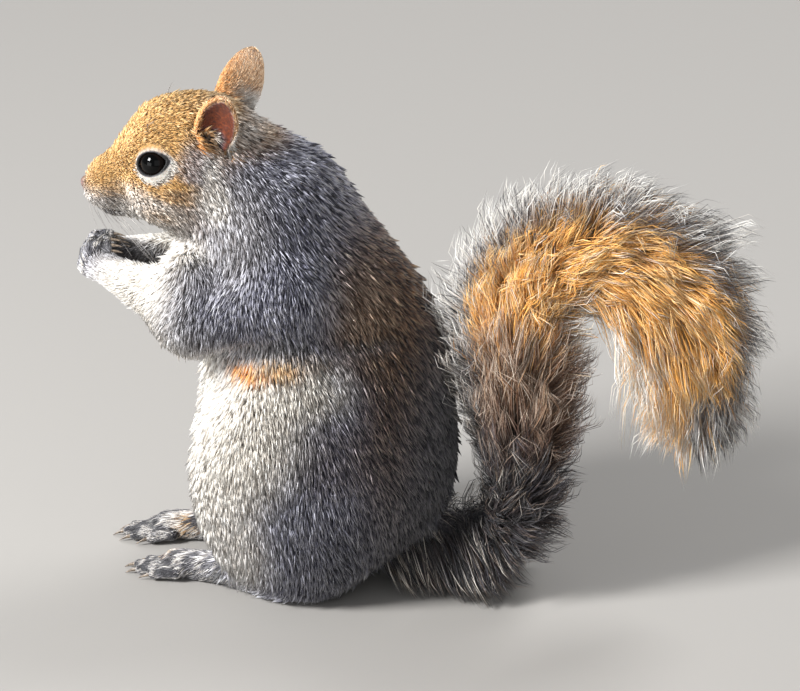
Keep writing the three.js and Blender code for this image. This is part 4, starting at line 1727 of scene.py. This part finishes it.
    def mark(self, share: Array, depth: Array, side_on: Array, rng: Rng) -> tuple[Array, Array]:
        """Bands the hairs: warm at the root, then black, then white towards the edges.

        Args:
            share: Where along the tail each hair grows.
            depth: How far along its reach each station is.
            side_on: How far out each station is side on, from the inner edge to the outer.
            rng: Source of chance.

        Returns:
            The markings and the tone of each station.
        """
        count = len(share)
        uneven = rng.normal(0.0, 0.07, (count, 1))
        bright = rise(0.36, 0.46, share + rng.normal(0, 0.02, count))[:, None]
        end = rise(0.82, 0.95, share)[:, None]
        # the part of the brush on the floor gets less orange, fewer pale tips and a darker tone, as painted
        # shade
        floor = rise(0.32, 0.2, share)[:, None]
        outer = side_on + uneven - blend(0.42, 0.56, bright)
        inner = -side_on + uneven - blend(0.75, 0.42, bright)
        run = np.array([self.STATIONS]) + uneven
        past = np.maximum(outer, np.maximum(run - 0.56 + 0.6 * (end - 1.0), inner))
        past = np.maximum(past, depth + uneven - 0.68 + 0.6 * (floor - 1.0))
        inside = rise(0.0, 0.1, inner - outer)
        black = rise(0.0, 0.08, past) * (1.0 - inside * blend(0.5, 0.9, bright))
        whitening = rng.uniform(0, 1, (count, 1)) < blend(0.62, 0.55, inside) + 0.1 * bright - 0.22 * floor
        white = rise(0.1, 0.24, past) * whitening * (1.0 - 0.6 * inside * (1.0 - bright))
        marks = np.zeros((count, len(self.STATIONS), MARKINGS), np.float32)
        warm = (1.0 - black) * (1.0 - white)
        marks[..., Marking.ORANGE.value] = warm * blend(0.14 * (1.0 - floor), 0.97, bright)
        marks[..., Marking.BROWN.value] = warm * (1.0 - bright) * 0.83
        marks[..., Marking.DARK.value] = black * (1.0 - white)
        marks[..., Marking.PALE.value] = white
        self.tick(marks, bright[:, 0], floor[:, 0], rng)
        tone = rng.beta(1.8, 1.6, (count, 1)) * np.ones((1, 4))
        # lightness: darker on the floor as painted shade; lighter over the curl, partly its own paler orange
        # and partly painted sunlight on the top of the arc
        tone = blend(tone * (0.85 - 0.45 * floor), 0.42 + tone * 0.56, bright)
        tone[:, 0] *= 0.5
        tone[:, 3] = np.minimum(tone[:, 3] + 0.15, 1.0)
        return marks, tone

    @staticmethod
    def tick(marks: Array, bright: Array, floor: Array, rng: Rng) -> None:
        """Gives some hairs cream tips, more of them where the tail climbs and fewer, as painted shade, where
        it rests on the floor.

        Args:
            marks: The amount of each marking at each point, changed in place.
            bright: How far each hair is on the bright end of the tail.
            floor: How far each is on the part that rests on the floor.
            rng: Source of chance.
        """
        ticked = rng.uniform(0, 1, len(marks)) < blend(0.5, 0.1, bright) - 0.32 * floor
        for station, strength in ((2, 0.45), (3, 0.9)):
            marks[ticked, station] *= 1.0 - strength
            marks[ticked, station, Marking.OCHRE.value] += strength * (0.6 - 0.4 * bright[ticked])
            marks[ticked, station, Marking.PALE.value] += strength * (0.3 + 0.5 * bright[ticked])


# ---------------------------------------------------------------- whiskers, eyes, claws

@dataclass(frozen=True)
class Whiskers:
    """Long stiff hairs on the muzzle and over the eyes."""

    rows: int = 4
    per_row: int = 6
    pad: Triple = (6.6, -86.0, 138.0)
    row_step: Triple = (0.5, 0.3, -1.3)
    along_step: Triple = (0.45, 1.7, 0.15)
    length: float = 34.0
    width: float = 0.26
    brow: Triple = (10.0, -69.0, 164.0)
    brow_step: Triple = (0.8, 1.4, 0.0)
    brow_count: int = 4
    brow_length: float = 13.0
    sag: Triple = (0.0, 0.25, -0.22)
    seed: int = 41

    def build(self, material: Material) -> None:
        """Grows the whiskers on both sides.

        Args:
            material: The finish of the whiskers.
        """
        rng = np.random.default_rng(self.seed)
        roots, ways, lengths = [], [], []
        for row in range(self.rows):
            for place in range(self.per_row):
                root = np.array(self.pad) + np.array(self.row_step) * (row - 1.0)
                roots.append(root + np.array(self.along_step) * (place - 2.0))
                ways.append(unit(np.array([0.75, 0.42 + 0.07 * place, 0.22 - 0.24 * row])))
                lengths.append(self.length * (0.45 + 0.11 * place))
        for place in range(self.brow_count):
            roots.append(np.array(self.brow) + np.array(self.brow_step) * place)
            ways.append(unit(np.array([0.35, 0.35 - 0.2 * place, 0.8])))
            lengths.append(self.brow_length)
        roots, ways, lengths = np.array(roots), np.array(ways), np.array(lengths)
        mirror = np.array([-1.0, 1.0, 1.0])
        roots = np.concatenate([roots, roots * mirror])
        ways = unit(np.concatenate([ways, ways * mirror]) + rng.normal(0, 0.07, (len(roots), 3)))
        lengths = np.tile(lengths, 2) * rng.uniform(0.8, 1.1, len(roots))
        stations = np.linspace(0.0, 1.0, 9)
        spine = (
            roots[:, None] - ways[:, None] * 0.8
            + ways[:, None] * (lengths[:, None] * stations)[..., None]
            + np.array(self.sag) * (lengths[:, None] * stations**2)[..., None]
        )
        side = unit(np.cross(ways, [0.0, 0.3, 1.0]))
        marks = np.zeros((len(roots), len(stations), MARKINGS))
        tufts = Tufts(
            spine, side, np.full(len(roots), self.width), marks, np.full(marks.shape[:2], 0.7),
            np.tile([[0.5, 0.5]], (len(roots), 1)), tuple(1.0 - 0.85 * stations[1:-1]),
        )
        add_piece(tufts.mesh("whiskers"), material, "head_fur")


@dataclass(frozen=True)
class Eyes:
    """The glossy eyeballs."""

    eye: Eye
    across: int = 48
    down: int = 32

    def build(self, material: Material) -> None:
        """Sets an eyeball on each side.

        Args:
            material: The finish of the eyeball.
        """
        for side, sign in (("left", 1), ("right", -1)):
            vertices, faces = self.globe()
            out = np.array(self.eye.outward) * [sign, 1, 1]
            turn = np.array(Vector((0, 0, 1)).rotation_difference(Vector(out)).to_matrix())
            centre = np.array(self.eye.centre) * [sign, 1, 1]
            mesh = make_mesh(f"eyeball_{side}", vertices * self.eye.radius @ turn.T + centre, faces)
            angle = np.degrees(np.arccos(np.clip(vertices[:, 2], -1, 1)))
            add_values(mesh, "from_pupil", angle / 90.0)
            piece = add_piece(mesh, material, "eye")
            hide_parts(f"eye_{side}")

    def globe(self) -> tuple[Array, Array]:
        """A ball of radius one, its poles on the z axis.

        Returns:
            Its vertices and faces.
        """
        rows = np.linspace(0, np.pi, self.down + 1)
        columns = np.linspace(0, 2 * np.pi, self.across, endpoint=False)
        grid = np.array([
            (math.sin(row) * math.cos(column), math.sin(row) * math.sin(column), math.cos(row))
            for row in rows[1:-1] for column in columns
        ])
        vertices = np.concatenate([[(0, 0, 1)], grid, [(0, 0, -1)]])
        return vertices, ring_faces(self.down - 1, self.across)


@dataclass(frozen=True)
class Claws:
    """Curved claws, one piece for each hand and foot."""

    body: Body
    length: float = 5.0
    radius: float = 0.85
    droop: float = 1.5
    sink: float = 0.9  # how far inside its toe a claw starts
    flatness: float = 0.7
    taper: float = 0.75
    sides: int = 10
    rings: int = 8

    def build(self, material: Material) -> None:
        """Sets the claws on every finger and toe.

        Args:
            material: The finish of the claws.
        """
        for side, sign in (("left", 1), ("right", -1)):
            mirror = np.array([sign, 1, 1])
            hand = [(base + way * self.body.finger_length, way) for base, way in self.body.fingers()]
            foot = [(base + way * length, way) for base, way, length in self.body.toes(sign)]
            for limb, digits in (("hand", hand), ("foot", foot)):
                vertices, faces = [], []
                for index, (place, way) in enumerate(digits):
                    points, ring_faces = self.claw(place * mirror, way * mirror)
                    faces.append(ring_faces + index * len(points))
                    vertices.append(points)
                mesh = make_mesh(f"claws_{limb}_{side}", np.concatenate(vertices), np.concatenate(faces))
                piece = add_piece(mesh, material, "claw")
                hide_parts(*(f"claw_{limb}_{side}_{n + 1}" for n in range(len(digits))))

    def claw(self, place: Array, way: Array) -> tuple[Array, Array]:
        """One claw, from a little inside its toe to a point.

        Args:
            place: Where the toe ends.
            way: The way the toe points.

        Returns:
            The claw's vertices and faces.
        """
        across = unit(np.cross(way, (0, 0, 1)))
        upward = np.cross(across, way)
        start = place - way * self.sink
        vertices = [start]
        for ring in range(self.rings):
            share = ring / self.rings
            centre = start + way * self.length * share - upward * self.droop * share**2
            thick = self.radius * (1.0 - share) ** self.taper
            for side in range(self.sides):
                angle = 2 * math.pi * side / self.sides
                sideways = across * math.cos(angle) * thick * self.flatness
                vertices.append(centre + sideways + upward * math.sin(angle) * thick)
        vertices.append(start + way * self.length - upward * self.droop)
        return np.array(vertices), ring_faces(self.rings, self.sides)


# ---------------------------------------------------------------- finishes

def colour(code: str) -> tuple[float, float, float, float]:
    """Turns an sRGB hex code to linear red, green, blue and full opacity.

    Args:
        code: The hex code, with its #.

    Returns:
        The linear colour.
    """
    values = [int(code[i:i + 2], 16) / 255 for i in (1, 3, 5)]
    linear = [v / 12.92 if v <= 0.04045 else ((v + 0.055) / 1.055) ** 2.4 for v in values]
    return (*linear, 1.0)


def add_node(tree: Tree, kind: str, inputs: dict | None = None, **settings) -> bpy.types.Node:
    """Adds a node with its settings and its inputs.

    Args:
        tree: The material's nodes.
        kind: The node's type.
        inputs: For each input, a value or the output that it is linked to.
        **settings: The node's own properties.

    Returns:
        The new node.
    """
    node = tree.nodes.new(kind)
    for name, value in settings.items():
        setattr(node, name, value)
    for key, value in (inputs or {}).items():
        if isinstance(value, Socket):
            tree.links.new(value, node.inputs[key])
        else:
            node.inputs[key].default_value = value
    return node


def add_noise(tree: Tree, grain: float) -> Socket:
    """Adds an even noise with grains of this many millimetres."""
    inputs = {"Vector": add_node(tree, "ShaderNodeTexCoord").outputs["Object"], "Scale": 1.0 / (grain * MM)}
    return add_node(tree, "ShaderNodeTexNoise", inputs).outputs["Fac"]


def add_ramp(tree: Tree, factor: Socket, stops: tuple[tuple[float, str], ...]) -> Socket:
    """Adds a ramp of colours.

    Args:
        tree: The material's nodes.
        factor: What runs along the ramp.
        stops: Each colour's place on the ramp and its hex code, in order.

    Returns:
        The ramp's colour.
    """
    ramp = add_node(tree, "ShaderNodeValToRGB", {0: factor})
    while len(ramp.color_ramp.elements) < len(stops):
        ramp.color_ramp.elements.new(1.0)
    for element, (position, code) in zip(ramp.color_ramp.elements, stops):
        element.position = position
        element.color = colour(code)
    return ramp.outputs["Color"]


def add_bump(tree: Tree, height: Socket, strength: float, distance: float) -> Socket:
    """Adds bumps where height rises, of a strength and a distance in millimetres."""
    inputs = {"Strength": strength, "Distance": distance * MM, "Height": height}
    return add_node(tree, "ShaderNodeBump", inputs).outputs[0]


def add_surface(tree: Tree, inputs: dict) -> None:
    """Adds the shader with these inputs and links it to the material's output."""
    shader = add_node(tree, "ShaderNodeBsdfPrincipled", inputs)
    add_node(tree, "ShaderNodeOutputMaterial", {0: shader.outputs[0]})


def new_material(name: str) -> tuple[Material, Tree]:
    """An empty node material with its output left to link.

    Args:
        name: The material's name.

    Returns:
        The material and its nodes.
    """
    material = bpy.data.materials.new(name)
    material.use_nodes = True
    material.node_tree.nodes.clear()
    return material, material.node_tree


class Ground(Enum):
    """Where a hair finish gets its lightness from: each tuft, or a fine noise on the skin."""

    TUFTS = "tufts"
    SKIN = "skin"


@dataclass(frozen=True)
class Tones:
    """One colour of the coat, from its darkest hairs to its lightest."""

    marking: Marking
    stops: tuple[tuple[float, str], ...]


# Agouti hair is banded dark and light, so each colour runs from near black to near white.
COAT_TONES = (
    Tones(Marking.GREY, ((0.0, "#121119"), (0.35, "#545464"), (0.7, "#b9b9c6"), (1.0, "#fbfbfe"))),
    Tones(Marking.BROWN, ((0.0, "#0a0503"), (0.4, "#3a2211"), (0.75, "#835c33"), (1.0, "#e6cb9b"))),
    Tones(Marking.OCHRE, ((0.0, "#6b4a24"), (0.35, "#ba8a48"), (0.7, "#e2b976"), (1.0, "#fce6bc"))),
    Tones(Marking.ORANGE, ((0.0, "#a85c12"), (0.35, "#e8952c"), (0.7, "#f9bb5a"), (1.0, "#ffe4b0"))),
    Tones(Marking.PALE, ((0.0, "#7d746b"), (0.3, "#d0c8bc"), (0.65, "#f2ede4"), (1.0, "#fffefa"))),
    Tones(Marking.DARK, ((0.0, "#020202"), (0.5, "#080607"), (1.0, "#252123"))),
    Tones(Marking.BARE, ((0.0, "#1c0a04"), (0.5, "#6a2a0c"), (1.0, "#a8521c"))),
)


@dataclass(frozen=True)
class HairFinish:
    """Grey squirrel fur: soft agouti guard hair, matt with a faint silky edge."""

    name: str
    ground: Ground
    roughness: float = 0.62
    sheen: float = 0.18
    hair_mm: float = 0.55  # width of a lock of hair, drawn as coarse as it needs to show

    def build(self) -> Material:
        """Makes the material, which reads the markings stored on the mesh.

        Returns:
            The material.
        """
        material, tree = new_material(self.name)
        warm = add_node(tree, "ShaderNodeAttribute", attribute_name="marks_warm")
        plain = add_node(tree, "ShaderNodeAttribute", attribute_name="marks_plain")
        split_warm = add_node(tree, "ShaderNodeSeparateColor", {0: warm.outputs["Color"]})
        split_plain = add_node(tree, "ShaderNodeSeparateColor", {0: plain.outputs["Color"]})
        masks = [*split_warm.outputs, *split_plain.outputs]
        tone = self.tone(tree)
        shade = None
        for tones in COAT_TONES:
            ramp = add_ramp(tree, tone, tones.stops)
            if shade is None:
                shade = ramp
                continue
            mask = masks[tones.marking.value]
            shade = add_node(tree, "ShaderNodeMix", {0: mask, 6: shade, 7: ramp}, data_type="RGBA").outputs[2]
        shader_inputs = {
            "Base Color": self.shaded(tree, shade),
            "Roughness": self.roughness,
            "IOR": 1.55,  # keratin
            "Specular IOR Level": 0.35,
            "Sheen Weight": self.sheen if self.ground is Ground.TUFTS else 0.05,
            "Sheen Roughness": 0.5,
        }
        if self.ground is Ground.SKIN:
            shader_inputs["Normal"] = add_bump(tree, add_noise(tree, self.hair_mm), 0.5, 0.3)
            shader_inputs["Subsurface Weight"] = 0.12
            shader_inputs["Subsurface Radius"] = (0.004, 0.0015, 0.0008)
        add_surface(tree, shader_inputs)
        return material

    def tone(self, tree: Tree) -> Socket:
        """How light the hair is: lighter towards the tip, and different in each tuft.

        Args:
            tree: The material's nodes.

        Returns:
            The lightness, from 0 to 1.
        """
        if self.ground is Ground.SKIN:
            return add_noise(tree, self.hair_mm * 2)
        return add_node(tree, "ShaderNodeAttribute", attribute_name="tone").outputs["Fac"]

    def shaded(self, tree: Tree, shade: Socket) -> Socket:
        """Darkens the hair towards its root, where the coat shades itself.

        Args:
            tree: The material's nodes.
            shade: The hair's colour.

        Returns:
            The colour with its shading.
        """
        along = add_node(tree, "ShaderNodeAttribute", attribute_name="along").outputs["Fac"]
        depth = add_node(tree, "ShaderNodeMapRange", {0: along, 1: 0.0, 2: 0.7, 3: 0.3, 4: 1.0})
        mix = add_node(
            tree, "ShaderNodeMix", {0: 1.0, 6: shade, 7: depth.outputs[0]},
            data_type="RGBA", blend_type="MULTIPLY")
        return mix.outputs[2]


@dataclass(frozen=True)
class EyeFinish:
    """A wet dark eye: near-black iris under a clear glossy cornea."""

    pupil: str = "#020202"
    iris: str = "#0d0705"

    def build(self) -> Material:
        """Makes the material, with a faint brown iris round the pupil.

        Returns:
            The material.
        """
        material, tree = new_material("eye_cornea")
        place = add_node(tree, "ShaderNodeAttribute", attribute_name="from_pupil").outputs["Fac"]
        stops = ((0.38, self.pupil), (0.44, self.iris), (0.62, self.iris), (0.75, self.pupil))
        add_surface(tree, {
            "Base Color": add_ramp(tree, place, stops),
            "Roughness": 0.04,
            "IOR": 1.376,  # cornea
            "Specular IOR Level": 0.22,
        })
        return material


@dataclass(frozen=True)
class ClawFinish:
    """Horn: dark grey-brown keratin, polished by wear, paler towards the tip."""

    root: str = "#3b322b"
    tip: str = "#9a8a78"

    def build(self) -> Material:
        """Makes the material, with a fine noise grain in its colour and surface.

        Returns:
            The material.
        """
        material, tree = new_material("claw_horn")
        grain = add_noise(tree, 0.8)
        add_surface(tree, {
            "Base Color": add_ramp(tree, grain, ((0.35, self.root), (0.75, self.tip))),
            "Roughness": 0.32,
            "IOR": 1.55,  # keratin
            "Normal": add_bump(tree, grain, 0.25, 0.2),
        })
        return material


@dataclass(frozen=True)
class WhiskerFinish:
    """A whisker: stiff keratin, smooth and a little see-through in life."""

    dark: str = "#4a4340"
    pale: str = "#d8d2cb"

    def build(self) -> Material:
        """Makes the material, dark and pale by turns along the whiskers.

        Returns:
            The material.
        """
        material, tree = new_material("whisker_keratin")
        shade = add_ramp(tree, add_noise(tree, 9), ((0.4, self.dark), (0.7, self.pale)))
        add_surface(tree, {"Base Color": shade, "Roughness": 0.4, "IOR": 1.55})
        return material


@dataclass(frozen=True)
class FloorFinish:
    """Matt painted board, pale and even."""

    shade: str = "#9b9894"

    def build(self) -> Material:
        """Makes the material, with a trace of roller texture.

        Returns:
            The material.
        """
        material, tree = new_material("floor_paint")
        bump = add_bump(tree, add_noise(tree, 3), 0.05, 0.5)
        add_surface(tree, {"Base Color": colour(self.shade), "Roughness": 0.7, "Normal": bump})
        return material


# ---------------------------------------------------------------- studio

@dataclass(frozen=True)
class Studio:
    """A pale floor, soft lights and the camera."""

    floor_size: float = 6.0
    floor_drop: float = 0.0002
    azimuth: float = 102.0
    elevation: float = 24.0
    frame_width: int = 800
    frame_height: int = 691
    pixels_per_mm: float = 2.9
    origin_pixel: tuple[float, float] = (345.0, 573.0)
    depth: float = 40.0  # how far the body's middle lies in front of the origin, along the view
    stand_off: float = 4000.0
    sensor: float = 36.0
    sky: str = "#e6e9ee"
    sky_strength: float = 0.42
    lamps_at: Triple = (0.0, 0.01, 0.09)  # what the lamps point at, in metres
    sees_to: float = 20.0  # metres

    def build(self) -> None:
        """Sets up the floor, the lights, the sky and the camera."""
        self.lay_floor()
        self.light()
        self.aim()

    def lay_floor(self) -> None:
        """Lays the floor under the squirrel."""
        half = self.floor_size / 2 / MM
        drop = -self.floor_drop / MM
        corners = np.array([(x * half, y * half, drop) for x, y in ((-1, -1), (1, -1), (1, 1), (-1, 1))])
        mesh = make_mesh("studio_floor", corners, np.array([[0, 1, 2, 3]]))
        floor = bpy.data.objects.new("studio_floor", mesh)
        bpy.context.scene.collection.objects.link(floor)
        mesh.materials.append(FloorFinish().build())

    def light(self) -> None:
        """Hangs a key light, a fill, a low bounce and a rim light, under an even sky."""
        aim = Vector(self.lamps_at)
        for name, place, size, power in (
            ("key", (0.82, -1.05, 0.95), 0.45, 54.0),
            ("fill", (1.6, 0.5, 0.7), 1.2, 4.0),
            ("bounce", (1.15, -0.95, 0.12), 0.8, 8.0),
            ("rim", (-0.8, 0.6, 1.2), 0.6, 14.0),
        ):
            lamp = bpy.data.lights.new(f"studio_{name}", "AREA")
            lamp.size = size
            lamp.energy = power
            light = bpy.data.objects.new(f"studio_{name}", lamp)
            light.location = place
            light.rotation_euler = (aim - Vector(place)).to_track_quat("-Z", "Y").to_euler()
            bpy.context.scene.collection.objects.link(light)
        world = bpy.data.worlds.new("studio_sky")
        world.use_nodes = True
        world.node_tree.nodes["Background"].inputs[0].default_value = colour(self.sky)
        world.node_tree.nodes["Background"].inputs[1].default_value = self.sky_strength
        bpy.context.scene.world = world
        bpy.context.scene.view_settings.view_transform = "Standard"

    def aim(self) -> None:
        """Sets the camera where the squirrel is seen from its left, a little from above."""
        azimuth, elevation = math.radians(self.azimuth), math.radians(self.elevation)
        right = Vector((math.cos(azimuth), math.sin(azimuth), 0.0))
        back = Vector((
            math.sin(azimuth) * math.cos(elevation), -math.cos(azimuth) * math.cos(elevation),
            math.sin(elevation),
        ))
        upward = back.cross(right)
        across = (self.frame_width / 2 - self.origin_pixel[0]) / self.pixels_per_mm
        above = (self.origin_pixel[1] - self.frame_height / 2) / self.pixels_per_mm
        centre = (right * across + upward * above) * MM
        lens = bpy.data.cameras.new("studio_camera")
        lens.sensor_width = self.sensor
        lens.lens = self.sensor * self.stand_off * self.pixels_per_mm / self.frame_width
        lens.clip_end = self.sees_to
        camera = bpy.data.objects.new("studio_camera", lens)
        turn = Matrix((right, upward, back)).transposed().to_4x4()
        place = centre + back * (self.depth + self.stand_off) * MM
        camera.matrix_world = Matrix.Translation(place) @ turn
        bpy.context.scene.collection.objects.link(camera)
        bpy.context.scene.camera = camera


def main() -> None:
    """Builds the squirrel from the skin out, and the studio round it."""
    logging.basicConfig(level=logging.INFO, format="%(name)s %(message)s")
    Studio().build()
    body = Body()
    skin = Skin(body, Markings(body))
    skin.build(HairFinish("skin_short_fur", Ground.SKIN).build())
    fur = HairFinish("coat_guard_hair", Ground.TUFTS).build()
    ShortCoat(skin).build(fur)
    TailBrush(body.tail).build(fur)
    Whiskers().build(WhiskerFinish().build())
    Eyes(body.eye).build(EyeFinish().build())
    Claws(body).build(ClawFinish().build())


if __name__ == "__main__":
    main()
